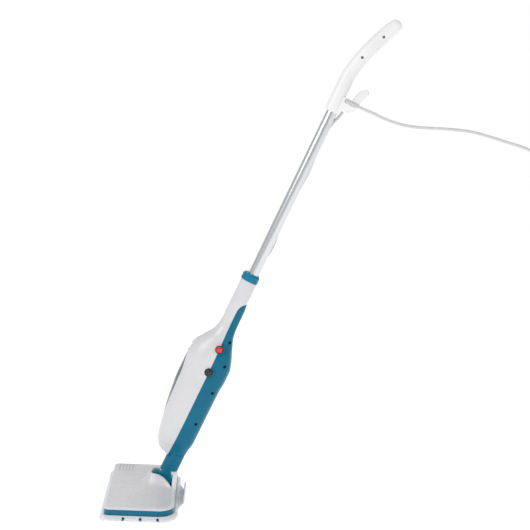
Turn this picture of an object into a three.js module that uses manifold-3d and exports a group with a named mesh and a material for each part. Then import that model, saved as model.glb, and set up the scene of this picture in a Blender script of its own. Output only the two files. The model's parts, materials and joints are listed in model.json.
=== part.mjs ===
// An upright steam mop: a flat floor head with a carpet glider and a cloth pad, a two-axis joint,
// a boiler body in two shells, a metal tube, a bent grip, and a mains lead with its plug.
// Millimetres, +Z up. The floor is z = 0, the middle of the head's sole is the origin, the head's
// front faces -Y and the pole leans back towards +Y. Width runs along X.

import * as THREE from 'three';
import { mergeVertices } from 'three/addons/utils/BufferGeometryUtils.js';
import Module from 'manifold-3d';

const wasm = await Module();
wasm.setup();

// ---- driving dimensions ----------------------------------------------------------------------

const gap = 0.3;                  // air left between pieces that touch
const lean = 22.4;                // the pole's lean from upright, in degrees
const pivot = { y: 50.7, z: 72.9 };   // the tilt axis of the neck, which runs along X

// The head, in plan: half width, front and rear edges, corner radii.
const head = { half: 148, front: -85.5, rear: 76, frontCorner: 12, rearCorner: 38 };
const coverEdge = 27.5;           // height of the white cover's lower edge
const coverFlat = 33.5;           // height of its flat top
const coverWall = 2.6;
const baseBottom = 14;            // underside of the teal base
const baseTop = coverEdge - gap;
const glider = { half: 154.5, front: -96, rear: 85, rearCorner: 42, top: 12.4, floor: 2.4 };
const pad = { half: 145.5, front: -83.5, rear: 74 };

// The pole's own frame: origin on the tilt axis, z up the pole, y towards its rear.
const tubeY = -16;                // the tube's axis, and the plane where the two shells part
const tube = { radius: 12.5, bore: 11.3, bottom: 440, top: 1012 };
const shellTop = 507;
const shellWall = 2.6;
const shellBottom = 44;           // front shell's lowest point
const neckSeam = 52;              // where the rear shell meets the neck
const archTop = 455;              // top of the rear shell's arched end
const archStart = 424;

// Body outlines as [height, distance from the parting plane] and [height, half width].
const frontOutline = [
  [shellBottom, 10], [47, 20], [52, 28], [62, 35.5], [79, 42], [118, 50], [157, 57], [200, 62],
  [235, 64.5], [290, 64], [322, 58], [346, 46], [367, 31.5], [387, 25], [407, 23], [shellTop, 23],
];
const rearOutline = [
  [shellBottom, 40], [60, 41], [71, 42], [82, 44.5], [92, 45.7], [141, 46], [236, 46.8], [262, 49.2],
  [289, 49], [311, 43.5], [343, 31], [372, 21.5], [393, 19.5], [435, 19], [458, 17], [shellTop, 17],
];
const sideOutline = [
  [shellBottom, 18], [49, 20.5], [60, 24], [80, 34], [100, 39], [130, 43], [180, 46], [250, 47.5],
  [300, 46.5], [322, 43.5], [346, 36], [367, 28], [387, 22.5], [407, 20.5], [shellTop, 20],
];

// Controls on the near side, both on the parting line, and the filler on the front.
const power = { z: 336, boss: 11, hole: 9.1, seat: 43.2 };
const knob = { z: 277, boss: 12, hole: 9.2, seat: 48.5 };
const filler = { y: -73.4, z: 325, radius: 14, tilt: 23.6 };

// The window in the front shell, through which the tank shows.
const tankWindow = { bottom: 100, top: 303, widest: 236, half: 23 };
const tank = { bottom: 104, top: 322, back: -34, wall: 2 };

// The grip: a straight socket and a bent upper part.
const grip = { bottom: 946.5, bendStart: 1040, top: 1198, y: -18.3, topY: 35, halfDepth: 16.5, halfWidth: 15 };
const gripScrews = [[-9, 1086], [15, 1148]];
const hook = { bottom: 957, top: 989, rear: 31, halfWidth: 13, prongTop: 1026 };

// The two joints' axes. The swivel axis lies in the pole's frame, square to the neck.
const swivelZ = -28;
const tiltPinRadius = 4;
const swivelPinRadius = 3;

// The mains lead: 7 mm across. The clipped run goes up the tube, and the free cord leaves the
// sleeve at the grip, falls to the floor behind the mop and ends in a coil with the plug beside it.
const cord = { radius: 3.5, sides: 8 };
const coil = { y: 1092, inner: 24.5, middle: 38.5, outer: 52.5, bottom: 1.6, top: 22.6 };
const strapHalf = 5;
const plugSize = { radius: 17.5, length: 50, pinSpacing: 19, pinRadius: 2.4, pinLength: 19 };
const sleeve = { x: 14.6, z: 982.6, start: 1, end: 30, radius: 4.3 };

const colours = {
  white: ['#dcdcdf', 0.35, 0],
  teal: ['#21718f', 0.32, 0],
  brightTeal: ['#1b8aad', 0.35, 0],
  metal: ['#c3c5c8', 0.28, 0.9],
  pin: ['#8f9296', 0.35, 0.9],
  smoke: ['#6d7478', 0.15, 0],
  black: ['#26272a', 0.45, 0],
  red: ['#e2252b', 0.25, 0],
  grey: ['#8d9092', 0.6, 0],
  cord: ['#dcd7d7', 0.55, 0],
  brass: ['#b9975a', 0.4, 0.8],
  board: ['#2d6b46', 0.5, 0],
  milky: ['#dfe3e8', 0.3, 0],
  cloth: ['#2a5f96', 0.95, 0],
};

// ---- helpers ---------------------------------------------------------------------------------

const materials = {};
for (const [name, [colour, roughness, metalness]] of Object.entries(colours)) {
  materials[name] = new THREE.MeshStandardMaterial({ color: colour, roughness, metalness });
}

const radians = THREE.MathUtils.degToRad;

// A closed BufferGeometry as a solid that can be cut and joined.
function solid(geometry) {
  const bare = geometry.clone();
  bare.deleteAttribute('normal');
  bare.deleteAttribute('uv');
  const merged = mergeVertices(bare, 1e-4);
  return new wasm.Manifold(new wasm.Mesh({
    numProp: 3,
    vertProperties: new Float32Array(merged.attributes.position.array),
    triVerts: new Uint32Array(merged.index.array),
  }));
}

function geometryOf(body) {
  const mesh = body.getMesh();
  const geometry = new THREE.BufferGeometry();
  geometry.setAttribute('position', new THREE.BufferAttribute(mesh.vertProperties, 3));
  geometry.setIndex(new THREE.BufferAttribute(mesh.triVerts, 1));
  geometry.computeVertexNormals();
  return geometry;
}

const cut = (body, ...tools) => tools.reduce((result, tool) => result.subtract(solid(tool)), body);
const join = (body, ...others) => others.reduce((result, other) => result.add(solid(other)), body);
const keep = (body, region) => body.intersect(solid(region));

// A box given by its corners.
function block([x0, y0, z0], [x1, y1, z1]) {
  return new THREE.BoxGeometry(x1 - x0, y1 - y0, z1 - z0)
    .translate((x0 + x1) / 2, (y0 + y1) / 2, (z0 + z1) / 2);
}

// A cylinder between two points.
function rod(from, to, radius, sides = 20) {
  const start = new THREE.Vector3(...from);
  const along = new THREE.Vector3(...to).sub(start);
  const turn = new THREE.Quaternion().setFromUnitVectors(
    new THREE.Vector3(0, 1, 0), along.clone().normalize());
  return new THREE.CylinderGeometry(radius, radius, along.length(), sides)
    .applyQuaternion(turn)
    .translate(...start.addScaledVector(along, 0.5).toArray());
}

// A profile of [radius, height] points turned about +Z.
function turned(profile, sides = 24) {
  const points = profile.map(([radius, height]) => new THREE.Vector2(radius, height));
  return new THREE.LatheGeometry(points, sides).rotateX(Math.PI / 2);
}

// An outline of [y, z] points or a Shape, extruded along X.
function slab(outline, x0, x1) {
  const shape = outline instanceof THREE.Shape
    ? outline
    : new THREE.Shape(outline.map(([y, z]) => new THREE.Vector2(y, z)));
  const axes = new THREE.Matrix4().makeBasis(
    new THREE.Vector3(0, 1, 0), new THREE.Vector3(0, 0, 1), new THREE.Vector3(1, 0, 0));
  return new THREE.ExtrudeGeometry(shape, { depth: x1 - x0, bevelEnabled: false, curveSegments: 10 })
    .applyMatrix4(axes)
    .translate(x0, 0, 0);
}

// A plan Shape extruded upwards.
function plate(shape, z0, z1, curveSegments = 6) {
  return new THREE.ExtrudeGeometry(shape, { depth: z1 - z0, bevelEnabled: false, curveSegments })
    .translate(0, 0, z0);
}

// A round tube along a curve through the points.
function hose(points, radius, steps, sides = cord.sides) {
  const path = new THREE.CatmullRomCurve3(points.map((p) => new THREE.Vector3(...p)), false, 'centripetal');
  const section = new THREE.Shape();
  for (let i = 0; i < sides; i += 1) {
    const angle = (2 * Math.PI * i) / sides;
    const corner = [radius * Math.cos(angle), radius * Math.sin(angle)];
    if (i === 0) section.moveTo(...corner);
    else section.lineTo(...corner);
  }
  section.closePath();
  return new THREE.ExtrudeGeometry(section, { steps, extrudePath: path, bevelEnabled: false });
}

// Rings of points, all with the same count, skinned into one closed body.
// With closed set, the last ring joins the first, and otherwise both ends are capped.
function skinned(rings, closed = false) {
  const count = rings[0].length;
  const positions = rings.flat();
  const triangles = [];
  const spans = closed ? rings.length : rings.length - 1;
  for (let r = 0; r < spans; r += 1) {
    const here = r * count;
    const next = ((r + 1) % rings.length) * count;
    for (let i = 0; i < count; i += 1) {
      const j = (i + 1) % count;
      triangles.push(here + i, here + j, next + j, here + i, next + j, next + i);
    }
  }
  if (!closed) {
    for (const [ring, flip] of [[0, true], [rings.length - 1, false]]) {
      const centre = new THREE.Vector3();
      rings[ring].forEach((p) => centre.add(new THREE.Vector3(...p)));
      positions.push(centre.divideScalar(count).toArray());
      const hub = positions.length - 1;
      for (let i = 0; i < count; i += 1) {
        const a = ring * count + i;
        const b = ring * count + ((i + 1) % count);
        triangles.push(...(flip ? [hub, b, a] : [hub, a, b]));
      }
    }
  }
  const geometry = new THREE.BufferGeometry();
  geometry.setAttribute('position', new THREE.Float32BufferAttribute(positions.flat(), 3));
  geometry.setIndex(triangles);
  geometry.computeVertexNormals();
  return geometry;
}

// A smooth function through [position, value] pairs that never overshoots them.
function smooth(pairs) {
  const slopes = pairs.map((pair, i) => {
    if (i === 0 || i === pairs.length - 1) return 0;
    const before = (pair[1] - pairs[i - 1][1]) / (pair[0] - pairs[i - 1][0]);
    const after = (pairs[i + 1][1] - pair[1]) / (pairs[i + 1][0] - pair[0]);
    return before * after <= 0 ? 0 : (2 * before * after) / (before + after);
  });
  return (at) => {
    let i = pairs.findIndex((pair) => pair[0] > at) - 1;
    if (at <= pairs[0][0]) i = 0;
    else if (i < 0) i = pairs.length - 2;
    const span = pairs[i + 1][0] - pairs[i][0];
    const t = THREE.MathUtils.clamp((at - pairs[i][0]) / span, 0, 1);
    const ease = t * t * (3 - 2 * t);
    const value = pairs[i][1] + (pairs[i + 1][1] - pairs[i][1]) * ease;
    return value + span * (slopes[i] * t * (1 - t) ** 2 - slopes[i + 1] * t * t * (1 - t));
  };
}

const pole = new THREE.Group();
pole.position.set(0, pivot.y, pivot.z);
pole.rotation.x = -radians(lean);
const floorHead = new THREE.Group();
const mop = new THREE.Group();
mop.add(pole, floorHead);

function add(parent, name, shape, material) {
  const geometry = shape.getMesh ? geometryOf(shape) : shape;
  const mesh = new THREE.Mesh(geometry, materials[material]);
  mesh.name = name;
  parent.add(mesh);
  return mesh;
}

// ---- the body's two shells ---------------------------------------------------------------------

const frontDepth = smooth(frontOutline);
const rearDepth = smooth(rearOutline);
const halfWidth = smooth(sideOutline);
const frontRoundness = 2.15;      // a round front and a squarer back
const rearRoundness = 2.9;

// One level of the body, drawn in from its surface by inset.
function bodyRing(z, inset, count = 28) {
  const ring = [];
  for (let i = 0; i < count; i += 1) {
    const angle = (2 * Math.PI * i) / count;
    const exponent = 2 / (Math.sin(angle) < 0 ? frontRoundness : rearRoundness);
    const depth = (Math.sin(angle) < 0 ? frontDepth(z) : rearDepth(z)) - inset;
    const across = Math.sign(Math.cos(angle)) * Math.abs(Math.cos(angle)) ** exponent;
    const back = Math.sign(Math.sin(angle)) * Math.abs(Math.sin(angle)) ** exponent;
    ring.push([(halfWidth(z) - inset) * across, tubeY + Math.max(depth, 0.4) * back, z]);
  }
  return ring;
}

// The body's outer form between two heights, drawn in by inset.
function bodyForm(bottom, top, inset) {
  const steady = [shellBottom, 46, 51, 56, 62, 79, 98, 140, 200, 255, 288, 306, 324, 342, 357, 370, 388,
    shellTop];
  const levels = [bottom, ...steady.filter((z) => z > bottom + 1.5 && z < top - 1.5), top];
  return skinned(levels.map((z) => bodyRing(z, inset)));
}

// The region behind the parting line, whose upper end arches over to the rear.
function rearRegion(shift) {
  const outline = new THREE.Shape();
  outline.moveTo(tubeY + shift, neckSeam + shift);
  outline.lineTo(tubeY + shift, archStart);
  outline.bezierCurveTo(tubeY + shift, 446, tubeY + 8, archTop - shift, 4, archTop - shift);
  outline.lineTo(60, archTop - shift);
  outline.lineTo(60, neckSeam + shift);
  outline.closePath();
  return slab(outline, -60, 60);
}

// Directions along the filler's axis, out of the front shell.
const fillerOut = new THREE.Vector3(0, -Math.cos(radians(filler.tilt)), Math.sin(radians(filler.tilt)));
function fillerPoint(distance) {
  return [0, filler.y + fillerOut.y * distance, filler.z + fillerOut.z * distance];
}

// The window's outline on the front, drawn in by inset.
function windowPrism(inset, y0, y1) {
  const bottom = tankWindow.bottom + 2 * inset;
  const top = tankWindow.top - 2 * inset;
  const half = tankWindow.half - inset;
  const outline = new THREE.Shape();
  outline.moveTo(0, bottom);
  outline.bezierCurveTo(half * 0.7, bottom + 30, half, tankWindow.widest - 45, half, tankWindow.widest);
  outline.bezierCurveTo(half, tankWindow.widest + 32, half * 0.45, top - 8, 0, top);
  outline.bezierCurveTo(-half * 0.45, top - 8, -half, tankWindow.widest + 32, -half, tankWindow.widest);
  outline.bezierCurveTo(-half, tankWindow.widest - 45, -half * 0.7, bottom + 30, 0, bottom);
  const facing = new THREE.Matrix4().makeBasis(
    new THREE.Vector3(1, 0, 0), new THREE.Vector3(0, 0, 1), new THREE.Vector3(0, -1, 0));
  return new THREE.ExtrudeGeometry(outline, { depth: y1 - y0, bevelEnabled: false, curveSegments: 8 })
    .applyMatrix4(facing)
    .translate(0, y1, 0);
}

// Screws sit in wells in the rear shell's sides: [height, distance behind the parting plane].
const screwSpots = [[358, 17], [303, 29], [233, 30], [147, 27]];
const screwWell = { radius: 3.4, depth: 7 };

function screwSeats() {
  const seats = [];
  for (const side of [1, -1]) {
    for (const [z, back] of screwSpots) {
      const share = back / rearDepth(z);
      const across = halfWidth(z) * (1 - share ** rearRoundness) ** (1 / rearRoundness);
      seats.push({ side, y: tubeY + back, z, x: across });
    }
  }
  return seats;
}

// The lead's gland slants up out of the front shell's far side.
const gland = { x: -15.8, y: -13, z: 458, tilt: 28, start: 3, flange: 23, end: 33, radius: 4.6 };

function glandPoint(distance) {
  return [
    gland.x - distance * Math.sin(radians(gland.tilt)),
    gland.y,
    gland.z + distance * Math.cos(radians(gland.tilt)),
  ];
}

function makeShells() {
  let outer = solid(bodyForm(shellBottom, shellTop, 0));
  const bosses = screwSeats().map(({ side, x, y, z }) => rod(
    [side * (x - screwWell.depth - 3), y, z], [side * x, y, z], screwWell.radius + 2, 12));
  const inside = bosses.slice(1).reduce((all, boss) => all.add(solid(boss)), solid(bosses[0]))
    .intersect(outer);
  outer = join(outer,
    rod([20, tubeY, power.z], [power.seat, tubeY, power.z], power.boss, 24),
    rod([20, tubeY, knob.z], [knob.seat, tubeY, knob.z], knob.boss, 24),
    rod(glandPoint(2), glandPoint(gland.flange - 1), gland.radius + 3.4, 16));
  const hollow = solid(bodyForm(shellBottom + 4, shellTop - 5, shellWall));
  const shells = cut(outer.subtract(hollow),
    rod([15, tubeY, power.z], [60, tubeY, power.z], power.hole + gap, 24),
    rod([15, tubeY, knob.z], [60, tubeY, knob.z], knob.hole + gap, 24),
    rod([0, tubeY, tube.bottom], [0, tubeY, shellTop + 5], tube.radius + gap, 24),
    rod(glandPoint(-12), glandPoint(30), gland.radius + gap, 16));
  const front = cut(shells,
    rearRegion(0),
    block([-60, tubeY, 20], [60, 60, neckSeam + 3]),
    rod(fillerPoint(-12), fillerPoint(20), filler.radius + gap, 28),
    windowPrism(0, -100, -50));
  const wells = screwSeats().map(({ side, x, y, z }) => rod(
    [side * (x - screwWell.depth), y, z], [side * (x + 12), y, z], screwWell.radius + gap, 12));
  const rear = cut(keep(shells, rearRegion(gap)).add(inside), ...wells);
  add(pole, 'front_shell', front, 'white');
  add(pole, 'rear_shell', rear, 'teal');
  screwSeats().forEach(({ side, x, y, z }, i) => {
    const head = rod([side * (x - screwWell.depth + gap), y, z], [side * (x - 4), y, z],
      screwWell.radius, 12);
    add(pole, `shell_screw_${i + 1}`, head, 'pin');
  });
}

// ---- water, steam and electrics inside the body ------------------------------------------------

function makeTank() {
  const room = block([-60, -100, tank.bottom], [60, tank.back, tank.top]);
  let body = keep(solid(bodyForm(80, 340, shellWall + 0.7)), room);
  const inset = 0.5;
  const pane = keep(solid(bodyForm(80, 340, inset)), windowPrism(gap + 0.1, -100, -56));
  body = body.add(pane);
  const cavity = keep(solid(bodyForm(80, 340, shellWall + 0.7 + tank.wall)),
    block([-60, -100, tank.bottom + tank.wall], [60, tank.back - tank.wall, tank.top - tank.wall]));
  body = join(body, rod(fillerPoint(-17), fillerPoint(-5), 10.5, 20));
  body = body.subtract(cavity);
  body = cut(body,
    rod(fillerPoint(-19), fillerPoint(4), 8.5, 20),
    rod(fillerPoint(-5), fillerPoint(15), filler.radius + 0.6, 28));
  add(pole, 'water_tank', body, 'smoke');
}

// The cap turns a quarter turn in the front shell and closes the filler.
function makeTankCap() {
  const face = filler.radius;
  let cap = solid(turned([
    [0, -4.6], [face - 2, -4.6], [face, -3.4], [face, 0], [face - 1.2, 0.8], [0, 1.2],
  ], 28));
  cap = cut(cap, block([-9, 1.8, -1], [9, 6.5, 4]), block([-9, -6.5, -1], [9, -1.8, 4]));
  const mesh = add(pole, 'tank_cap', cap, 'white');
  mesh.rotation.x = Math.PI / 2 - radians(filler.tilt);
  mesh.position.set(...fillerPoint(0));
}

function makeInternals() {
  add(pole, 'pump', join(solid(block([-15, -8, 86], [15, 20, 128])),
    rod([0, 6, 127], [0, 6, 138], 5, 14)), 'black');
  add(pole, 'heater', turned([
    [0, 158], [13, 158], [17, 163], [17, 256], [13, 261], [0, 261],
  ], 20).translate(0, 6, 0), 'metal');
  add(pole, 'thermostat', rod([0, 23.4, 215], [0, 26.8, 215], 7, 16), 'brass');
  add(pole, 'circuit_board', block([-24, 4, 272], [12, 5.8, 322]), 'board');
  add(pole, 'tank_hose', hose([
    [0, tank.back + gap, 112], [0, -28, 112], [0, -20, 107], [0, -13, 102], [0, -8 - gap, 102],
  ], 2.6, 8), 'grey');
  add(pole, 'feed_hose', hose([[0, 6, 138 + gap], [0, 6, 148], [0, 6, 158 - gap]], 2.6, 3), 'grey');
  add(pole, 'steam_hose', hose([
    [-9, 6, 158 - gap], [-9, 6, 154], [-14, 6, 147], [-20.5, 6, 138], [-20.5, 6, 110],
    [-20.5, 5.5, 90], [-17, 4, 76], [-7, 2.5, 64], [0, 2, 50], [0, 2, 20],
  ], 3.2, 22), 'grey');
}

// ---- the controls ------------------------------------------------------------------------------

// A ring pressed into a boss, with a lip over its edge.
const bezelLip = 0.8;
function bezelRing(hole, seat) {
  const bore = hole - bezelLip;
  return turned([
    [bore, seat - 11], [hole, seat - 11], [hole, seat + gap], [hole + 1, seat + gap],
    [hole + 1, seat + 1.3], [hole, seat + 2.3], [bore, seat + 1.6], [bore, seat - 11],
  ], 24).rotateY(Math.PI / 2);
}

function makeControls() {
  add(pole, 'power_bezel', bezelRing(power.hole, power.seat).translate(0, tubeY, power.z), 'black');
  add(pole, 'knob_bezel', bezelRing(knob.hole, knob.seat).translate(0, tubeY, knob.z), 'black');
  const button = power.hole - bezelLip - gap;
  const key = turned([
    [0, power.seat - 9], [button - 0.8, power.seat - 9], [button - 0.8, power.seat],
    [button, power.seat + 0.6], [button - 0.6, power.seat + 2.2], [0, power.seat + 3],
  ], 24).rotateY(Math.PI / 2);
  add(pole, 'power_button', key, 'red').position.set(0, tubeY, power.z);
  const dial = knob.hole - bezelLip - gap;
  const turnedDial = turned([
    [0, knob.seat - 10], [dial - 1, knob.seat - 10], [dial, knob.seat - 8], [dial, knob.seat + 3.4],
    [dial - 1, knob.seat + 4.4], [0, knob.seat + 4.4],
  ], 24).rotateY(Math.PI / 2);
  const pointer = block([knob.seat + 3.6, -0.7, 1], [knob.seat + 6, 0.7, dial - 1.5]);
  add(pole, 'steam_knob', cut(solid(turnedDial), pointer), 'black').position.set(0, tubeY, knob.z);
}

// ---- tube, collar and grip -----------------------------------------------------------------------

function makeTube() {
  add(pole, 'tube', turned([
    [tube.bore, tube.bottom], [tube.radius, tube.bottom], [tube.radius, tube.top],
    [tube.bore, tube.top], [tube.bore, tube.bottom],
  ], 32).translate(0, tubeY, 0), 'metal');
  const ring = solid(turned([
    [0, shellTop + gap], [20.4, shellTop + gap], [21.2, shellTop + 2], [21.2, shellTop + 14],
    [18, shellTop + 19], [0, shellTop + 19],
  ], 32).translate(0, tubeY - 3.4, 0));
  add(pole, 'collar', cut(ring,
    rod([0, tubeY, shellTop - 2], [0, tubeY, shellTop + 30], tube.radius + gap, 32)), 'brightTeal');
}

// The grip's centre line in the pole's frame: straight, then bending back.
const gripLine = new THREE.CatmullRomCurve3([
  [grip.y, grip.bottom], [grip.y, 975], [grip.y, 1010], [grip.y + 0.5, grip.bendStart], [-9, 1082],
  [4.5, 1124], [20, 1162], [34, 1195],
].map(([y, z]) => new THREE.Vector3(0, y, z)), false, 'centripetal');

function gripForm(growth = 0) {
  const rings = [];
  const stations = [0, 0.004, 0.1, 0.25, 0.4, 0.48, 0.56, 0.64, 0.74, 0.84, 0.92, 0.955, 0.98, 0.995, 1];
  const closing = smooth([[0, 0.97], [0.004, 1], [0.25, 1], [0.4, 0.97], [0.56, 1.0], [0.9, 1.02],
    [0.955, 0.96], [0.98, 0.82], [0.995, 0.58], [1, 0.36]]);
  for (const t of stations) {
    const centre = gripLine.getPointAt(t);
    const along = gripLine.getTangentAt(t);
    const back = new THREE.Vector3(0, along.z, -along.y);
    const ring = [];
    for (let i = 0; i < 24; i += 1) {
      const angle = (2 * Math.PI * i) / 24;
      const across = (grip.halfWidth + growth) * closing(t) * Math.cos(angle);
      const behind = (grip.halfDepth + growth) * closing(t) * Math.sin(angle);
      ring.push([across, centre.y + back.y * behind, centre.z + back.z * behind]);
    }
    rings.push(ring);
  }
  return skinned(rings);
}

function makeGrip() {
  const bored = cut(solid(gripForm()),
    rod([0, tubeY, grip.bottom - 5], [0, tubeY, tube.top + 1], tube.radius + gap, 24));
  for (const [name, side] of [['handle_left', -1], ['handle_right', 1]]) {
    const near = side > 0 ? gap / 2 : -40;
    let half = keep(bored, block([near, -60, 900], [near + 40 - gap / 2, 80, 1230]));
    if (side > 0) {
      half = cut(half, ...gripScrews.map(([y, z]) => rod([9, y, z], [20, y, z], 3 + gap, 12)));
    }
    add(pole, name, half, 'white');
  }
  gripScrews.forEach(([y, z], i) => {
    add(pole, `handle_screw_${i + 1}`, rod([9 + gap, y, z], [11.4, y, z], 3, 12), 'pin');
  });
}

// The cord hook clips to the rear of the grip's lower end, with a prong for winding the lead.
function makeHook() {
  const outline = new THREE.Shape();
  outline.moveTo(-12, hook.bottom);
  outline.lineTo(14, hook.bottom + 1);
  outline.quadraticCurveTo(hook.rear - 1, hook.bottom + 6, hook.rear, hook.top - 8);
  outline.quadraticCurveTo(hook.rear + 3, hook.top + 14, 42, 1015);
  outline.quadraticCurveTo(42, 1023, 37, hook.prongTop);
  outline.quadraticCurveTo(28, hook.prongTop + 1, 23, 1014);
  outline.quadraticCurveTo(18, 1000, 16, hook.top);
  outline.lineTo(-12, hook.top + 1);
  outline.closePath();
  const form = solid(slab(outline, -hook.halfWidth, hook.halfWidth));
  const clear = cut(form,
    gripForm(0.45),
    rod([sleeve.x, sleeve.start - 2, sleeve.z], [sleeve.x, 60, sleeve.z], sleeve.radius + 0.5, 16));
  add(pole, 'cord_hook', clear, 'white');
  const relief = turned([
    [0, sleeve.start], [sleeve.radius - 0.6, sleeve.start], [sleeve.radius, sleeve.start + 1.5],
    [sleeve.radius, 24], [sleeve.radius + 0.3, 24.5], [sleeve.radius + 0.3, 26.5],
    [sleeve.radius - 0.3, 27], [cord.radius + 0.2, sleeve.end], [0, sleeve.end],
  ], 16).rotateX(-Math.PI / 2).translate(sleeve.x, 0, sleeve.z);
  add(pole, 'cord_sleeve', relief, 'grey');
}

// ---- the lead ------------------------------------------------------------------------------------

// From the pole's frame to the floor's, for a cord that leaves the pole.
function toFloor([x, y, z]) {
  const angle = radians(lean);
  return [
    x,
    pivot.y + y * Math.cos(angle) + z * Math.sin(angle),
    pivot.z - y * Math.sin(angle) + z * Math.cos(angle),
  ];
}

function makeLead() {
  const relief = turned([
    [0, gland.start], [gland.radius, gland.start], [gland.radius, gland.flange],
    [gland.radius + 2, gland.flange], [gland.radius + 2, gland.flange + 3],
    [gland.radius, gland.flange + 4], [3.9, gland.end], [0, gland.end],
  ], 16);
  const mesh = add(pole, 'body_gland', relief, 'grey');
  mesh.position.set(...glandPoint(0));
  mesh.rotation.y = -radians(gland.tilt);
  // The clipped run climbs the tube's far side, loosely, from the gland to the hook's underside.
  add(pole, 'tube_lead', hose([
    glandPoint(gland.end + gap), glandPoint(gland.end + 4), [-33.6, -12.5, 502], [-31, -11.5, 516], [-25, -10.5, 530], [-18.5, -8, 556],
    [-14, -4.5, 578], [-11.5, -2.2, 601], [-12.5, -4.2, 626], [-15, -6.5, 650], [-16, -7.7, 690],
    [-14.8, -6.2, 725], [-13, -4.5, 760], [-12, -3.1, 795], [-14, -5.4, 836], [-15.5, -7.5, 880],
    [-12, -2, 922], [-5, 5, 945], [-3.4, 6.8, hook.bottom - gap - 0.3],
  ], cord.radius, 40), 'cord');
  // The free cord, in the floor's frame.
  const route = [
    toFloor([sleeve.x, sleeve.end + gap, sleeve.z]),
    [14.6, 468, 964], [14.5, 485, 958], [14, 514, 946], [13, 543, 937], [12, 575, 931],
    [11, 614, 929], [10, 657, 929], [9, 688, 928], [8, 722, 925], [7, 757, 918], [6, 801, 907],
    [5, 864, 889], [5, 920, 858], [6, 966, 806], [8, 990, 730], [10, 1000, 630], [14, 1004, 500],
    [18, 1004, 370], [24, 1003, 240], [31, 1006, 140], [36, 1022, 76],
    [coil.middle, 1050, 40], [coil.middle, coil.y - 1, coil.top + cord.radius + gap + 0.1],
  ];
  add(mop, 'power_cord', hose(route, cord.radius, 64), 'cord');
  add(mop, 'cord_coil', turned([
    [coil.inner, coil.bottom], [coil.outer, coil.bottom], [coil.outer, coil.top],
    [coil.inner, coil.top], [coil.inner, coil.bottom],
  ], 32), 'cord').position.set(0, coil.y, 0);
}

// The tie is a strap round the coil's section, and the plug lies beside the coil, where the last turn
// leaves it.
function makePlug() {
  const strap = 1.1;
  const room = [coil.inner - 0.7, coil.outer, coil.bottom, coil.top];
  const around = (grow) => block(
    [room[0] - grow, -strapHalf, room[2] - grow], [room[1] + grow, strapHalf, room[3] + grow]);
  const tie = solid(around(gap + strap)).subtract(solid(around(gap).scale(1, 2, 1)));
  const band = add(mop, 'cord_tie', tie, 'black');
  band.position.set(0, coil.y, 0);
  band.rotation.z = Math.PI;
  const plug = new THREE.Group();
  plug.position.set(31, coil.y - coil.outer + cord.radius, plugSize.radius + gap);
  plug.rotation.y = Math.PI / 2;
  mop.add(plug);
  const face = plugSize.length;
  const form = turned([
    [0, 0], [4.2, 0], [5, 16], [8, 19], [11, 26], [12.5, 33], [13.5, 37], [plugSize.radius, 42],
    [plugSize.radius, face - 1], [plugSize.radius - 1, face], [0, face],
  ], 24);
  const sockets = [1, -1].map((side) => rod(
    [0, side * plugSize.pinSpacing / 2, face - 8], [0, side * plugSize.pinSpacing / 2, face + 2],
    plugSize.pinRadius + gap, 12));
  add(plug, 'plug', cut(solid(form), ...sockets), 'cord');
  [1, -1].forEach((side, i) => {
    add(plug, `plug_pin_${i + 1}`, rod(
      [0, side * plugSize.pinSpacing / 2, face - 8 + gap],
      [0, side * plugSize.pinSpacing / 2, face + plugSize.pinLength], plugSize.pinRadius, 12), 'pin');
  });
}

// ---- neck and yoke, in the pole's frame ----------------------------------------------------------

const neckHalf = 15.2;            // across the ears
const tongueHalf = 8;             // the yoke's tongue between them
const earRadius = 9.5;
const neckRear = 24.5;
const pinHalf = 12;               // the tilt pin sits blind in the ears

function neckRing(z, inset) {
  const front = z > 42.5 ? tubeY + 0.45 : -17;
  const middle = (front + neckRear) / 2;
  const depth = (neckRear - front) / 2 - inset;
  const width = THREE.MathUtils.mapLinear(z, 4, neckSeam, neckHalf + 0.6, 20) - inset;
  const ring = [];
  for (let i = 0; i < 24; i += 1) {
    const angle = (2 * Math.PI * i) / 24;
    const across = Math.sign(Math.cos(angle)) * Math.abs(Math.cos(angle)) ** 0.8;
    const back = Math.sign(Math.sin(angle)) * Math.abs(Math.sin(angle)) ** 0.8;
    ring.push([width * across, middle + depth * back, z]);
  }
  return ring;
}

function makeNeck() {
  const outer = skinned([-2, 12, 24, 42, 43, neckSeam - gap].map((z) => neckRing(z, 0)));
  const inner = skinned([17, 42, 43, neckSeam + 4].map((z) => neckRing(z, 3)));
  let neck = solid(outer).subtract(solid(inner));
  neck = cut(neck, slab([[-30, -20], [30, -20], [30, 12], [-30, -4.3]], -40, 40));
  for (const side of [1, -1]) {
    const inside = side * (tongueHalf + gap);
    const outside = side * neckHalf;
    const span = [Math.min(inside, outside), Math.max(inside, outside)];
    neck = join(neck,
      rod([inside, 0, 0], [outside, 0, 0], earRadius, 28),
      block([span[0], -earRadius, 0], [span[1], earRadius, 13]));
  }
  neck = cut(neck,
    block([-tongueHalf - gap, -40, -20], [tongueHalf + gap, 40, 12]),
    rod([-pinHalf - gap, 0, 0], [pinHalf + gap, 0, 0], tiltPinRadius + gap, 20),
    rod([0, 2, 5], [0, 2, 30], 4.2, 12));
  add(pole, 'neck', neck, 'teal');
  add(pole, 'tilt_pin', rod([-pinHalf, 0, 0], [pinHalf, 0, 0], tiltPinRadius, 20), 'pin');
}

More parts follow.
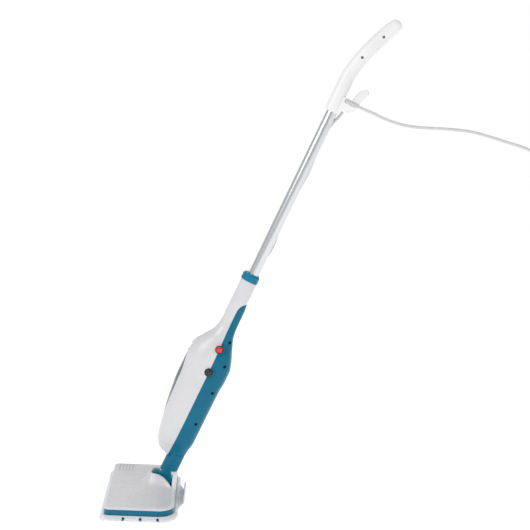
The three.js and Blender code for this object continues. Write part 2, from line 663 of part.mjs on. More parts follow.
function makeYoke() {
  const outline = new THREE.Shape();
  outline.moveTo(12.5, 0);
  outline.lineTo(6.5, 6.2);
  outline.absarc(0, 0, 9, 0.76, Math.PI, false);
  outline.lineTo(-13, -9);
  outline.lineTo(-23, -10);
  outline.quadraticCurveTo(-26.3, -11, -26.3, -14);
  outline.lineTo(-26.3, -18);
  outline.quadraticCurveTo(-26, -20.8, -22.5, -21);
  outline.lineTo(-22, -35);
  outline.lineTo(19, -35);
  outline.lineTo(19, -20);
  outline.lineTo(21.5, -17.5);
  outline.lineTo(20, -12.5);
  outline.lineTo(16.5, -6);
  outline.closePath();
  const hornSides = [block([-20, -40, -40], [-5.5, -14, 20]), block([5.5, -40, -40], [20, -14, 20])];
  const body = cut(solid(slab(outline, -tongueHalf, tongueHalf)), ...hornSides);
  // The skirt fills the cover's opening just below its rim.
  const crest = [16, 24, 33, 42, 50, 56, 59.6].map((y) => [y, rimHeight(y) - 2.5]);
  const low = crest.map(([y, z]) => [y, z - 3]).reverse();
  const skirt = keep(solid(slab([...crest, ...low], -50, 50)), plate(openingPlan(3.4), 20, 90));
  const toPole = pole.matrix.clone().invert();
  let yoke = body.add(skirt.transform(toPole.elements));
  yoke = join(yoke, rod([0, -22, swivelZ], [0, 19, swivelZ], 7.5, 20));
  yoke = cut(yoke,
    rod([-20, 0, 0], [20, 0, 0], tiltPinRadius + gap, 20),
    rod([0, -40, swivelZ], [0, -12, swivelZ], swivelPinRadius + gap, 16),
    rod([0, 8, swivelZ], [0, 40, swivelZ], swivelPinRadius + gap, 16),
    block([-12, 19.3, swivelZ - 12], [12, 30, swivelZ + 7.6]));
  add(pole, 'yoke', yoke, 'brightTeal');
  add(pole, 'swivel_pin_front', rod([0, -29, swivelZ], [0, -12 - gap, swivelZ], swivelPinRadius, 16), 'pin');
  add(pole, 'swivel_pin_rear', rod([0, 8 + gap, swivelZ], [0, 24, swivelZ], swivelPinRadius, 16), 'pin');
  add(pole, 'hose_elbow', hose([
    [0, -15.5, -6], [0, -18, -6], [0, -21.5, -6.3], [0, -25.5, -7.4], [0, -28.6, -9.8],
    [0, -29.9, -13],
  ], 2.8, 10), 'grey');
}

// ---- the floor head --------------------------------------------------------------------------------

// The head's plan outline, drawn in by inset. Its front corners are tight and its rear ones round.
function headPlan(inset = 0, size = head) {
  const half = size.half - inset;
  const front = size.front + inset;
  const rear = size.rear - inset;
  const frontCorner = Math.max(head.frontCorner - inset, 2);
  const rearCorner = (size.rearCorner ?? head.rearCorner) - inset;
  const plan = new THREE.Shape();
  plan.moveTo(0, rear);
  plan.lineTo(-(half - rearCorner), rear);
  plan.absarc(-(half - rearCorner), rear - rearCorner, rearCorner, Math.PI / 2, Math.PI, false);
  plan.lineTo(-half, front + frontCorner);
  plan.absarc(-(half - frontCorner), front + frontCorner, frontCorner, Math.PI, 1.5 * Math.PI, false);
  plan.lineTo(half - frontCorner, front);
  plan.absarc(half - frontCorner, front + frontCorner, frontCorner, -Math.PI / 2, 0, false);
  plan.lineTo(half, rear - rearCorner);
  plan.absarc(half - rearCorner, rear - rearCorner, rearCorner, 0, Math.PI / 2, false);
  plan.closePath();
  return plan;
}

// How far a point lies inside the head's outline.
function insideHead(x, y) {
  const corner = y > 0 ? head.rearCorner : head.frontCorner;
  const across = Math.abs(x) - (head.half - corner);
  const along = y > 0 ? y - (head.rear - corner) : head.front + corner - y;
  const outside = Math.hypot(Math.max(across, 0), Math.max(along, 0));
  return corner - outside - Math.min(Math.max(across, along), 0);
}

// The joint's opening is narrow at the front, flares towards the rear and ends straight.
// Its half width is given as [y, half width].
const opening = { front: 14.5, end: 65, centre: 42 };
const openingHalf = [[14.8, 3.5], [16.2, 7], [20, 9.6], [28, 11.6], [38, 14.8], [48, 21], [56, 29], [65, 39]];

function openingPlan(inset = 0) {
  const near = openingHalf.map(([y, half]) => [half - inset, y]);
  near[near.length - 1][1] -= inset;
  near.unshift([0, opening.front + inset]);
  near[1][1] += inset;
  const far = near.slice(1).reverse().map(([x, y]) => [-x, y]);
  return new THREE.Shape([...near, ...far].map(([x, y]) => new THREE.Vector2(x, y)));
}

const openingOutline = openingPlan().getPoints();

// How far a point lies outside the opening.
function outsideOpening(x, y) {
  let nearest = Infinity;
  openingOutline.forEach((from, i) => {
    const to = openingOutline[(i + 1) % openingOutline.length];
    const [dx, dy] = [to.x - from.x, to.y - from.y];
    const share = ((x - from.x) * dx + (y - from.y) * dy) / Math.max(dx * dx + dy * dy, 1e-9);
    const t = THREE.MathUtils.clamp(share, 0, 1);
    nearest = Math.min(nearest, Math.hypot(x - from.x - t * dx, y - from.y - t * dy));
  });
  return nearest;
}

// The rim round the joint falls towards the rear, more and more steeply.
function rimHeight(y) {
  return y < 20 ? 67.3 + 0.25 * (20 - y) : 67.3 - 22 * ((y - 20) / 45.5) ** 2;
}

// Height of the cover: a rounded edge, a broad mound towards the rear, and a cowl that rises to the
// rim from a foot line straight at its sides and round at its front.
function coverTop(x, y) {
  const edge = Math.min(insideHead(x, y) / 9, 1);
  const lip = 1.3;
  const shoulder = coverFlat - coverEdge - lip;
  const flat = coverEdge + lip + shoulder * Math.sqrt(Math.max(1 - (1 - edge) ** 2, 0));
  const mound = 14.5 * Math.exp(-((x / 72) ** 2)) * THREE.MathUtils.smoothstep(y, -38, 50);
  const low = flat + mound * edge;
  const foot = 38 + 5 * THREE.MathUtils.clamp((y - 20) / 45, 0, 1);
  const toFoot = Math.max(foot - Math.hypot(x, Math.min(y - 20, 0)), 0);
  const toRim = Math.max(outsideOpening(x, y) - 4 + 1.5 * THREE.MathUtils.smoothstep(y, 24, 42), 0);
  const share = toFoot / Math.max(toFoot + toRim, 1e-9);
  const raised = low + Math.max(rimHeight(y) - low, 0) * share ** 1.7;
  return Math.min(raised, coverEdge + lip + (head.rear - y) * 1.92);
}

function makeCover() {
  const outline = headPlan().getSpacedPoints(56).slice(0, 56);
  const centre = new THREE.Vector2(0, opening.centre);
  const rim = outline.map((point) => {
    const ray = point.clone().sub(centre).normalize();
    const hits = openingOutline.map((from, i) => {
      const to = openingOutline[(i + 1) % openingOutline.length];
      const along = to.clone().sub(from);
      const offset = from.clone().sub(centre);
      const facing = ray.cross(along);
      const reach = offset.cross(along) / facing;
      const share = offset.cross(ray) / facing;
      return reach > 0 && share >= -1e-6 && share <= 1 + 1e-6 ? reach : 0;
    });
    return centre.clone().addScaledVector(ray, Math.max(...hits));
  });
  const shares = [0, 0.012, 0.05, 0.12, 0.35, 0.55, 0.7, 0.82, 0.92, 1];
  const at = (share, i) => outline[i].clone().lerp(rim[i], share);
  const top = shares.map((share) => outline.map((_, i) => {
    const { x, y } = at(share, i);
    return [x, y, coverTop(x, y)];
  }));
  const under = shares.map((share) => outline.map((_, i) => {
    const { x, y } = at(share, i);
    return [x, y, Math.max(coverEdge, coverTop(x, y) - coverWall - (share === 1 ? 2.5 : 0))];
  })).reverse();
  add(floorHead, 'head_cover', skinned([...top, ...under], true), 'white');
}

const headScrews = [[-118, -70], [118, -70], [-105, 50], [105, 50]];
const nozzle = { y: 22, radius: 9 };

function makeBase() {
  let base = solid(plate(headPlan(0.7), baseBottom, baseTop));
  base = cut(base, plate(headPlan(4.5), baseBottom + 3, baseTop + 2));
  const front = block([-7, -29.5, swivelZ - 9], [7, -23.4, swivelZ + 4.4]).applyMatrix4(pole.matrix);
  const rear = block([-7, 19.6, swivelZ - 9], [7, 24.4, swivelZ + 4.8]).applyMatrix4(pole.matrix);
  base = join(base, block([-7, 8.4, baseBottom + 2], [7, 14.4, 50]), front,
    block([-7, 59.5, baseBottom + 2], [7, 65.5, 36]), rear);
  base = cut(base,
    rod([0, -45, swivelZ], [0, 30, swivelZ], swivelPinRadius + gap, 16).applyMatrix4(pole.matrix),
    rod([0, nozzle.y, 10], [0, nozzle.y, 30], nozzle.radius + gap, 24),
    ...headScrews.map(([x, y]) => rod([x, y, 10], [x, y, 20], 4 + gap, 12)));
  add(floorHead, 'head_base', base, 'teal');
  headScrews.forEach(([x, y], i) => {
    add(floorHead, `head_screw_${i + 1}`, rod([x, y, baseBottom + 0.3], [x, y, 19], 4, 12), 'pin');
  });
  add(floorHead, 'steam_nozzle', turned([
    [2.2, baseBottom], [nozzle.radius, baseBottom], [nozzle.radius, 20], [2.2, 20], [2.2, baseBottom],
  ], 24).translate(0, nozzle.y, 0), 'grey');
  add(floorHead, 'head_hose', hose([
    [0, nozzle.y, 20 + gap], [0, nozzle.y, 26], [0, nozzle.y - 1, 32], [0, nozzle.y - 2, 37],
  ], 3.2, 8), 'grey');
  for (const [name, y] of [['grip_strip_front', -42], ['grip_strip_rear', 38]]) {
    add(floorHead, name, block([-112, y - 10, 12.9], [112, y + 10, baseBottom - gap]), 'black');
  }
}

function makePad() {
  add(floorHead, 'mop_pad', plate(headPlan(0, pad), glider.floor + gap, 12.6, 4), 'cloth');
}

// The carpet glider: a shallow frame round the pad, with a sloping shoulder and a foot tab.
function makeGlider() {
  const border = 20;
  const bar = 7;
  const shoulder = [[5.5, 0], [1.8, 1.6], [0, 4.5], [0.2, 7], [2, 9.5], [4.6, 11.5], [6.6, glider.top]];
  let frame = solid(skinned(shoulder.map(([inset, z]) => headPlan(inset, glider).getPoints(6)
    .filter((point, i, all) => point.distanceTo(all[(i + 1) % all.length]) > 0.01)
    .map(({ x, y }) => [x, y, z]))));
  frame = cut(frame, plate(headPlan(-1.6, pad), glider.floor, 30));
  const inside = headPlan(border, glider);
  const light = solid(plate(inside, -2, 10));
  for (const [x0, x1] of [[-200, -bar], [bar, 200]]) {
    for (const [y0, y1] of [[-120, -bar], [bar, 120]]) {
      frame = frame.subtract(keep(light, block([x0, y0, -5], [x1, y1, 12])));
    }
  }
  for (const side of [1, -1]) {
    for (const [y, tilt] of [[-40, -26], [0, 8], [40, 22]]) {
      const slot = block([-12, -2.4, -4], [12, 2.4, 4]).rotateX(radians(tilt));
      frame = cut(frame, slot.translate(side * glider.half, y, 7));
    }
  }
  const shelf = [[-80, 82], [80, 82], [62, 89], [46, 94.5], [-46, 94.5], [-62, 89]];
  const toe = [[92, 3], [96.5, 5], [99.5, 24], [98.5, 28], [95.5, 28], [93.8, 8.4], [92, 8.4]];
  frame = join(frame,
    plate(new THREE.Shape(shelf.map(([x, y]) => new THREE.Vector2(x, y))), 3, 8.5),
    slab(toe, -45, 45));
  add(floorHead, 'carpet_glider', frame, 'milky');
}

pole.updateMatrix();
makeShells();
makeTank();
makeTankCap();
makeInternals();
makeControls();
makeTube();
makeGrip();
makeHook();
makeLead();
makePlug();
makeNeck();
makeYoke();
makeCover();
makeBase();
makePad();
makeGlider();

export default mop;
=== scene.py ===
"""Looks of the steam mop: finer shells, cloth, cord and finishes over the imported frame.

Forms are worked out in millimetres, in the pole's frame or the floor's frame, and turned into
metres when they are placed.
"""

import json
import math

import bmesh
import bpy
import numpy as np
from mathutils import Matrix, Vector, noise


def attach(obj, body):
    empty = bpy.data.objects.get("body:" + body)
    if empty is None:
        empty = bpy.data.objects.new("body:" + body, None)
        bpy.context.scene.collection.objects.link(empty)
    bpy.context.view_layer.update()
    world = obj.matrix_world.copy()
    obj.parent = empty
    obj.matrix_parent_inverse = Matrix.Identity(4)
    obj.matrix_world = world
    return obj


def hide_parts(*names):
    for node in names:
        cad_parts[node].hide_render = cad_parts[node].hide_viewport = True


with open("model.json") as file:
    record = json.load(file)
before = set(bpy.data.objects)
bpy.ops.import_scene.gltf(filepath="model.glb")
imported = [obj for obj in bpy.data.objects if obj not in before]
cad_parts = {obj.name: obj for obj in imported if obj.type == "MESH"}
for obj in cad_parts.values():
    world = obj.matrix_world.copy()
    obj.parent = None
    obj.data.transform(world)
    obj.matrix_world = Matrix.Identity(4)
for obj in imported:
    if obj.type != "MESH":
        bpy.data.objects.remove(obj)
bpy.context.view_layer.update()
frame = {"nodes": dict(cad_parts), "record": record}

MM = 0.001
GAP = 0.3

# ---- driving dimensions ----

LEAN = 22.4
PIVOT = (0, 50.7, 72.9)
POLE = Matrix.Translation(PIVOT) @ Matrix.Rotation(math.radians(-LEAN), 4, "X")

HEAD = {"half": 148, "front": -85.5, "rear": 76}
GLIDER = {"half": 154.5, "front": -96, "rear": 85, "rear_corner": 42}
PAD = {"half": 145.5, "front": -83.5, "rear": 74}
FRONT_CORNER = 12
REAR_CORNER = 38
COVER_EDGE = 27.5
COVER_FLAT = 33.5
BASE_BOTTOM = 14
GLIDER_TOP = 12.4
GLIDER_FLOOR = 2.4

TUBE_Y = -16
TUBE_RADIUS = 12.5
TILT_PIN = 4
SWIVEL_PIN = 3
SHELL_BOTTOM = 44
SHELL_TOP = 507
NECK_SEAM = 52
WALL = 2.6
POWER = {"z": 336, "boss": 11, "hole": 9.1, "seat": 43.2}
BEZEL_LIP = 0.8
RING_GROOVE = (14.6, 16)
KNOB = {"z": 277, "boss": 12, "hole": 9.2, "seat": 48.5}
FILLER = {"y": -73.4, "z": 325, "radius": 14, "tilt": 23.6}
WINDOW = {"bottom": 100, "top": 303, "widest": 236, "half": 23}
SCREWS = [(358, 17), (303, 29), (233, 30), (147, 27)]
SCREW_WELL = {"radius": 3.4, "depth": 7}
GRIP_SCREWS = [(-9, 1086), (15, 1148)]
GRIP_HALVES = (15, 16.5)
SWIVEL_Z = -28
GLAND = {"x": -15.8, "y": -13, "z": 458, "tilt": 28, "start": 3, "flange": 23, "end": 33, "radius": 4.6}
SLEEVE = {"x": 14.6, "z": 982.6, "start": 1, "end": 30, "radius": 4.3}

CORD_RADIUS = 3.5
COIL = {"y": 1092, "inner": 24.5, "outer": 52.5, "bottom": 1.6, "top": 22.6}
COIL_RADII = (28, 35, 42, 49)
COIL_LEVELS = (19.1, 12.1, 5.1)
COIL_STEPS = 16
COIL_MIDDLE = 38.5
COIL_OVER = COIL["top"] + CORD_RADIUS + 0.4
PLUG = {"x": 31, "radius": 17.5, "length": 50, "pin": 2.4, "spacing": 19}
PLUG_Y = COIL["y"] - COIL["outer"] + CORD_RADIUS
PLUG_Z = PLUG["radius"] + GAP

# The camera looks at the controls' side from the height of the grip, tipped down. Its place is in
# metres, its lens in millimetres and its angles in degrees.
CAMERA = {"place": (2.665, 0.13572, 1.06868), "lens": 78.25, "down": 10.2, "turn": 2.71, "roll": 3.16}
# Each light's place and target in metres, its size across in metres and its power in watts.
LIGHTS = {
    "key": ((1.6, -1.7, 2.4), (0, 0.2, 0.5), 1.6, 30),
    "fill": ((2.2, 1.9, 1.5), (0, 0.3, 0.5), 1.8, 8),
    "back": ((-1.8, 0.6, 2.2), (0, 0.3, 0.6), 1.4, 12),
}

# ---- camera and light ----


def make_camera():
    down, turn, roll = (math.radians(CAMERA[name]) for name in ("down", "turn", "roll"))
    forward = Vector((-math.cos(turn) * math.cos(down), math.sin(turn) * math.cos(down), -math.sin(down)))
    level = Vector((math.sin(turn), math.cos(turn), 0))
    upright = level.cross(forward)
    right = level * math.cos(roll) + upright * math.sin(roll)
    up = upright * math.cos(roll) - level * math.sin(roll)
    data = bpy.data.cameras.new("camera")
    data.lens = CAMERA["lens"]
    data.sensor_width = 36
    camera = add_object("camera", data)
    axes = Matrix((right, up, -forward)).transposed()
    camera.matrix_world = Matrix.Translation(CAMERA["place"]) @ axes.to_4x4()
    bpy.context.scene.camera = camera


def make_light(name, place, target, size, power):
    data = bpy.data.lights.new(name, "AREA")
    data.shape = "DISK"
    data.size = size
    data.energy = power
    light = add_object(name, data)
    light.location = place
    light.rotation_euler = (Vector(target) - Vector(place)).to_track_quat("-Z", "Y").to_euler()


def make_stage():
    world = bpy.data.worlds.new("studio")
    world.use_nodes = True
    tree = world.node_tree
    background = tree.nodes["Background"]
    background.inputs["Color"].default_value = (1, 1, 1, 1)
    # The backdrop shows white, and lights the mop more softly than that.
    strength = tree.nodes.new("ShaderNodeMapRange")
    strength.inputs["To Min"].default_value = 0.6
    strength.inputs["To Max"].default_value = 1.0
    path = tree.nodes.new("ShaderNodeLightPath")
    tree.links.new(path.outputs["Is Camera Ray"], strength.inputs["Value"])
    tree.links.new(strength.outputs["Result"], background.inputs["Strength"])
    bpy.context.scene.world = world
    bpy.context.scene.view_settings.view_transform = "Standard"
    mesh = bpy.data.meshes.new("floor")
    mesh.from_pydata([(-9, -9, 0), (9, -9, 0), (9, 9, 0), (-9, 9, 0)], [], [(0, 1, 2, 3)])
    floor = add_object("floor", mesh)
    pale = bpy.data.materials.new("pale_floor")
    pale.use_nodes = True
    shader = pale.node_tree.nodes["Principled BSDF"]
    shader.inputs["Base Color"].default_value = (0.93, 0.93, 0.93, 1)
    shader.inputs["Roughness"].default_value = 0.9
    shader.inputs["Emission Color"].default_value = (1, 1, 1, 1)
    shader.inputs["Emission Strength"].default_value = 0.45
    mesh.materials.append(pale)
    for name, values in LIGHTS.items():
        make_light(name, *values)


# ---- helpers ----


def add_object(name, data):
    made = bpy.data.objects.new(name, data)
    bpy.context.scene.collection.objects.link(made)
    return made


def smooth(pairs):
    """A smooth function through (position, value) pairs that never overshoots them."""
    at = np.array([position for position, _ in pairs], float)
    value = np.array([height for _, height in pairs], float)
    steps = np.diff(value) / np.diff(at)
    slopes = np.zeros(len(at))
    for i in range(1, len(at) - 1):
        before, after = steps[i - 1], steps[i]
        if before * after > 0:
            slopes[i] = 2 * before * after / (before + after)

    def curve(x):
        x = np.clip(x, at[0], at[-1])
        i = np.clip(np.searchsorted(at, x, side="right") - 1, 0, len(at) - 2)
        span = at[i + 1] - at[i]
        t = (x - at[i]) / span
        pull = slopes[i] * t * (1 - t) ** 2 - slopes[i + 1] * t * t * (1 - t)
        return value[i] + (value[i + 1] - value[i]) * step(t) + span * pull

    return curve


def step(t):
    """A smooth step from 0 to 1."""
    t = np.clip(t, 0, 1)
    return t * t * (3 - 2 * t)


def signed_power(value, exponent):
    return np.sign(value) * np.abs(value) ** exponent


def bezier(start, first, second, end, steps=16):
    """Points along a cubic, without its start."""
    t = np.linspace(0, 1, steps + 1)[1:, None]
    a, b, c, d = (np.array(p, float) for p in (start, first, second, end))
    line = (1 - t) ** 3 * a + 3 * (1 - t) ** 2 * t * b + 3 * (1 - t) * t * t * c + t**3 * d
    return [tuple(point) for point in line]


def resample(line, count, endpoint=True):
    """A flat line's points moved to even steps along it."""
    line = np.array(line, float)
    along = np.concatenate([[0], np.cumsum(np.linalg.norm(np.diff(line, axis=0), axis=1))])
    even = np.linspace(0, along[-1], count, endpoint=endpoint)
    return np.stack([np.interp(even, along, line[:, k]) for k in (0, 1)], axis=1)


def rounded(corners, radius, closed=True, steps=5):
    """An outline with its corners rounded off."""
    points = [Vector(corner) for corner in corners]
    result = []
    for i, corner in enumerate(points):
        if not closed and i in (0, len(points) - 1):
            result.append(tuple(corner))
            continue
        before = points[i - 1] - corner
        after = points[(i + 1) % len(points)] - corner
        start = corner + before.normalized() * min(radius, before.length * 0.45)
        end = corner + after.normalized() * min(radius, after.length * 0.45)
        for k in range(steps + 1):
            t = k / steps
            result.append(tuple((1 - t) ** 2 * start + 2 * t * (1 - t) * corner + t * t * end))
    return result


def make_piece(name, points, faces):
    mesh = bpy.data.meshes.new(name)
    mesh.from_pydata([tuple(float(x) for x in point) for point in points], [], faces)
    form = bmesh.new()
    form.from_mesh(mesh)
    bmesh.ops.recalc_face_normals(form, faces=form.faces)
    form.to_mesh(mesh)
    form.free()
    return add_object(name, mesh)


def skin(name, rings, closed=False):
    """A solid through rings of points. Its ends are flat unless the rings close on themselves."""
    count = len(rings[0])
    rows = len(rings)
    points = [point for ring in rings for point in ring]
    faces = []
    for r in range(rows if closed else rows - 1):
        here, above = r * count, ((r + 1) % rows) * count
        for i in range(count):
            j = (i + 1) % count
            faces.append((here + i, here + j, above + j, above + i))
    if not closed:
        faces.append(tuple(reversed(range(count))))
        faces.append(tuple(range((rows - 1) * count, rows * count)))
    return make_piece(name, points, faces)


def apply_modifiers(piece):
    evaluated = piece.evaluated_get(bpy.context.evaluated_depsgraph_get())
    mesh = bpy.data.meshes.new_from_object(evaluated)
    piece.modifiers.clear()
    piece.data = mesh


def combine(piece, operation, *tools):
    """Cut, join or keep with tools that are used up."""
    for tool in tools:
        change = piece.modifiers.new("change", "BOOLEAN")
        change.solver = "MANIFOLD"
        change.operation = operation
        change.object = tool
        apply_modifiers(piece)
        bpy.data.objects.remove(tool)
    return piece


def cut(piece, *tools):
    return combine(piece, "DIFFERENCE", *tools)


def join(piece, *others):
    return combine(piece, "UNION", *others)


def keep(piece, region):
    return combine(piece, "INTERSECT", region)


def copy(piece, name):
    return add_object(name, piece.data.copy())


def soften(piece, width, segments=3, angle=40):
    """Round off a simple solid's edges."""
    edge = piece.modifiers.new("edge", "BEVEL")
    edge.width = width
    edge.segments = segments
    edge.limit_method = "ANGLE"
    edge.angle_limit = math.radians(angle)
    apply_modifiers(piece)
    return piece


def prism(outline, along, low, high, name="tool"):
    """An outline in the two other axes, extruded along one axis."""
    spots = {
        "x": lambda a, b, c: (c, a, b),
        "y": lambda a, b, c: (a, c, b),
        "z": lambda a, b, c: (a, b, c),
    }
    return skin(name, [[spots[along](a, b, end) for a, b in outline] for end in (low, high)])


def block(low, high):
    (x0, y0, z0), (x1, y1, z1) = low, high
    return prism([(x0, y0), (x1, y0), (x1, y1), (x0, y1)], "z", z0, z1)


def pole_block(low, high):
    """A block squared to the pole's frame."""
    tool = block(low, high)
    tool.data.transform(POLE)
    return tool


def lathe(profile, name="tool", sides=96, closed=False):
    """A profile of (radius, height) points turned about +Z."""
    angles = np.linspace(0, 2 * math.pi, sides, endpoint=False)
    rings = [
        [(radius * math.cos(a), radius * math.sin(a), height) for a in angles] for radius, height in profile
    ]
    return skin(name, rings, closed)


def aim(piece, start, direction):
    """Turn a piece made along +Z to a direction, and move its origin to start."""
    turn = Vector((0, 0, 1)).rotation_difference(Vector(direction)).to_matrix().to_4x4()
    piece.data.transform(Matrix.Translation(start) @ turn)
    return piece


def rod(start, end, radius, name="tool", sides=64):
    along = Vector(end) - Vector(start)
    return aim(lathe([(radius, 0), (radius, along.length)], name, sides), start, along)


def place(piece, body, slot, nodes, tilted=True, sharp=32, look=None):
    """Give a finished form its finish and its body, in metres. A look is a variant of its slot."""
    mesh = piece.data
    if tilted:
        mesh.transform(POLE)
    mesh.transform(Matrix.Scale(MM, 4))
    mesh.shade_smooth()
    mesh.set_sharp_from_angle(angle=math.radians(sharp))
    mesh.materials.clear()
    mesh.materials.append(finishes[look or slot])
    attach(piece, body)
    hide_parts(*nodes)
    return piece


def strand(name, points, radius, body, slot, nodes, tilted=False):
    """A round cord or hose along a smooth line through the points."""
    line = bpy.data.curves.new(name, "CURVE")
    line.dimensions = "3D"
    line.bevel_depth = radius * MM
    line.bevel_resolution = 5
    line.resolution_u = 10
    line.use_fill_caps = True
    spline = line.splines.new("BEZIER")
    spline.bezier_points.add(len(points) - 1)
    for knot, point in zip(spline.bezier_points, points):
        at = Vector(point)
        knot.co = (POLE @ at if tilted else at) * MM
        knot.handle_left_type = knot.handle_right_type = "AUTO"
    line.materials.append(finishes[slot])
    piece = add_object(name, line)
    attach(piece, body)
    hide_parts(*nodes)
    return piece


# ---- finishes ----


def linear(red, green, blue):
    """A screen colour from 0 to 255 as a shader's colour."""
    shares = (red / 255, green / 255, blue / 255)
    return tuple(s / 12.92 if s <= 0.04045 else ((s + 0.055) / 1.055) ** 2.4 for s in shares) + (1,)


def shade(colour, factor):
    return tuple(min(channel * factor, 1) for channel in colour[:3]) + (1,)


class Finish:
    """A material's node tree with the steps that all finishes share."""

    def __init__(self, name):
        self.material = bpy.data.materials.new(name)
        self.material.use_nodes = True
        self.tree = self.material.node_tree
        self.shader = self.tree.nodes["Principled BSDF"]
        self.place = self.node("ShaderNodeTexCoord").outputs["Object"]

    def node(self, kind, sockets=None, **values):
        """A new node with its settings, and constants on its sockets."""
        made = self.tree.nodes.new(kind)
        for key, value in values.items():
            setattr(made, key, value)
        for key, value in (sockets or {}).items():
            made.inputs[key].default_value = value
        return made

    def link(self, start, end):
        self.tree.links.new(start, end)

    def stretched(self, scale, lean=0.0):
        """Coordinates stretched along the axes, leaned with the pole if asked."""
        mapping = self.node("ShaderNodeMapping", {"Rotation": (lean, 0, 0)})
        spread = self.node("ShaderNodeVectorMath", {1: scale}, operation="MULTIPLY")
        self.link(self.place, mapping.inputs["Vector"])
        self.link(mapping.outputs["Vector"], spread.inputs[0])
        return spread.outputs["Vector"]

    def noise(self, scale, detail=3.0, roughness=0.5, where=None):
        settings = {"Scale": scale, "Detail": detail, "Roughness": roughness}
        made = self.node("ShaderNodeTexNoise", settings)
        self.link(where or self.place, made.inputs["Vector"])
        return made.outputs["Fac"]

    def spread(self, value, low, high):
        """A varying value fitted between two limits."""
        limits = {"From Min": 0.3, "From Max": 0.7, "To Min": low, "To Max": high}
        made = self.node("ShaderNodeMapRange", limits)
        self.link(value, made.inputs["Value"])
        return made.outputs["Result"]

    def colours(self, value, stops):
        ramp = self.node("ShaderNodeValToRGB")
        elements = ramp.color_ramp.elements
        while len(elements) < len(stops):
            elements.new(0.5)
        for element, (position, colour) in zip(elements, stops):
            element.position = position
            element.color = colour
        self.link(value, ramp.inputs["Fac"])
        return ramp.outputs["Color"]

    def bumps(self, *layers):
        """Bumps of (height, strength, distance), one over another."""
        normal = None
        for height, strength, distance in layers:
            bump = self.node("ShaderNodeBump", {"Strength": strength, "Distance": distance})
            self.link(height, bump.inputs["Height"])
            if normal:
                self.link(normal, bump.inputs["Normal"])
            normal = bump.outputs["Normal"]
        self.link(normal, self.shader.inputs["Normal"])

    def paint(self, value, *stops):
        """The base colour, as tones at places along a varying value."""
        self.link(self.colours(value, stops), self.shader.inputs["Base Color"])

    def polish(self, value, low, high):
        """The roughness, between two limits as a value varies."""
        self.link(self.spread(value, low, high), self.shader.inputs["Roughness"])

    def set(self, **values):
        for key, value in values.items():
            self.shader.inputs[key.replace("_", " ")].default_value = value


def plastic(name, colour, gloss=0.3, grain=0.25, coat=0.0, glow=0.0, ior=1.5):
    """Moulded plastic: a faint flow of tone, a fine spark-eroded grain and rubbed spots."""
    finish = Finish(name)
    flow = finish.noise(9, 4)
    finish.paint(flow, (0.25, shade(colour, 0.93)), (0.5, colour), (0.78, shade(colour, 1.04)))
    finish.polish(finish.noise(38, 6, 0.62), gloss - 0.05, gloss + 0.1)
    finish.bumps((finish.noise(7, 2), 0.06, 0.002), (finish.noise(2600, 2), grain, 0.00004))
    finish.set(Coat_Weight=coat, Coat_Roughness=0.12, IOR=ior)
    finish.set(Subsurface_Weight=glow, Subsurface_Radius=(0.004, 0.004, 0.004))
    return finish.material


def brushed_metal(name, colour, roughness=0.24, streak=(2600, 2600, 14)):
    """Drawn steel: fine lines along the pole, with slight bands of tone."""
    finish = Finish(name)
    along = finish.stretched(streak, math.radians(LEAN))
    lines = finish.noise(1, 3, 0.6, along)
    bands = finish.noise(0.02, 2, 0.5, along)
    finish.paint(lines, (0.3, shade(colour, 0.9)), (0.7, shade(colour, 1.05)))
    finish.polish(bands, roughness - 0.05, roughness + 0.1)
    finish.bumps((lines, 0.12, 0.00003))
    finish.set(Metallic=1.0)
    return finish.material


def rubber(name, colour, roughness=0.55, grain=0.35):
    """Soft vinyl or rubber: dull, with dust in its pores and a fine orange peel."""
    finish = Finish(name)
    dust = finish.noise(60, 5, 0.65)
    finish.paint(dust, (0.3, shade(colour, 0.9)), (0.55, colour), (0.8, shade(colour, 1.12)))
    finish.polish(dust, roughness - 0.06, roughness + 0.12)
    finish.bumps((finish.noise(190, 3), 0.12, 0.0003), (finish.noise(1900, 2), grain, 0.00006))
    finish.set(IOR=1.48)
    return finish.material


def tinted_glass(name, colour):
    """The smoked tank: dark, glossy and half clear, with paler bands of painted highlight where the water
    and wall would catch light, and darker bands of painted shade.
    """
    finish = Finish(name)
    up = finish.stretched((26, 26, 5), math.radians(LEAN))
    depth = finish.noise(1, 3, 0.5, up)
    # Painted light: bands along the pole, paler as painted highlight and darker as painted shade, stand in
    # for light caught by the water and wall.
    finish.paint(depth, (0.25, shade(colour, 0.75)), (0.5, colour), (0.75, shade(colour, 1.35)))
    finish.polish(finish.noise(55, 4), 0.06, 0.16)
    finish.bumps((finish.noise(14, 2), 0.05, 0.002))
    finish.set(Transmission_Weight=0.35, IOR=1.49, Coat_Weight=0.5, Coat_Roughness=0.05)
    return finish.material


def milky(name, colour):
    """Clear-milky polypropylene, with a faint cloudiness and scuffs."""
    finish = Finish(name)
    cloud = finish.noise(22, 4)
    finish.paint(cloud, (0.3, shade(colour, 0.93)), (0.7, shade(colour, 1.03)))
    scuffs = finish.noise(1, 5, 0.7, finish.stretched((18, 160, 160)))
    finish.polish(scuffs, 0.2, 0.42)
    finish.bumps((scuffs, 0.08, 0.0002), (finish.noise(1800, 2), 0.15, 0.00004))
    finish.set(Transmission_Weight=0.08, IOR=1.49)
    finish.set(Subsurface_Weight=0.35, Subsurface_Radius=(0.006, 0.006, 0.007))
    return finish.material


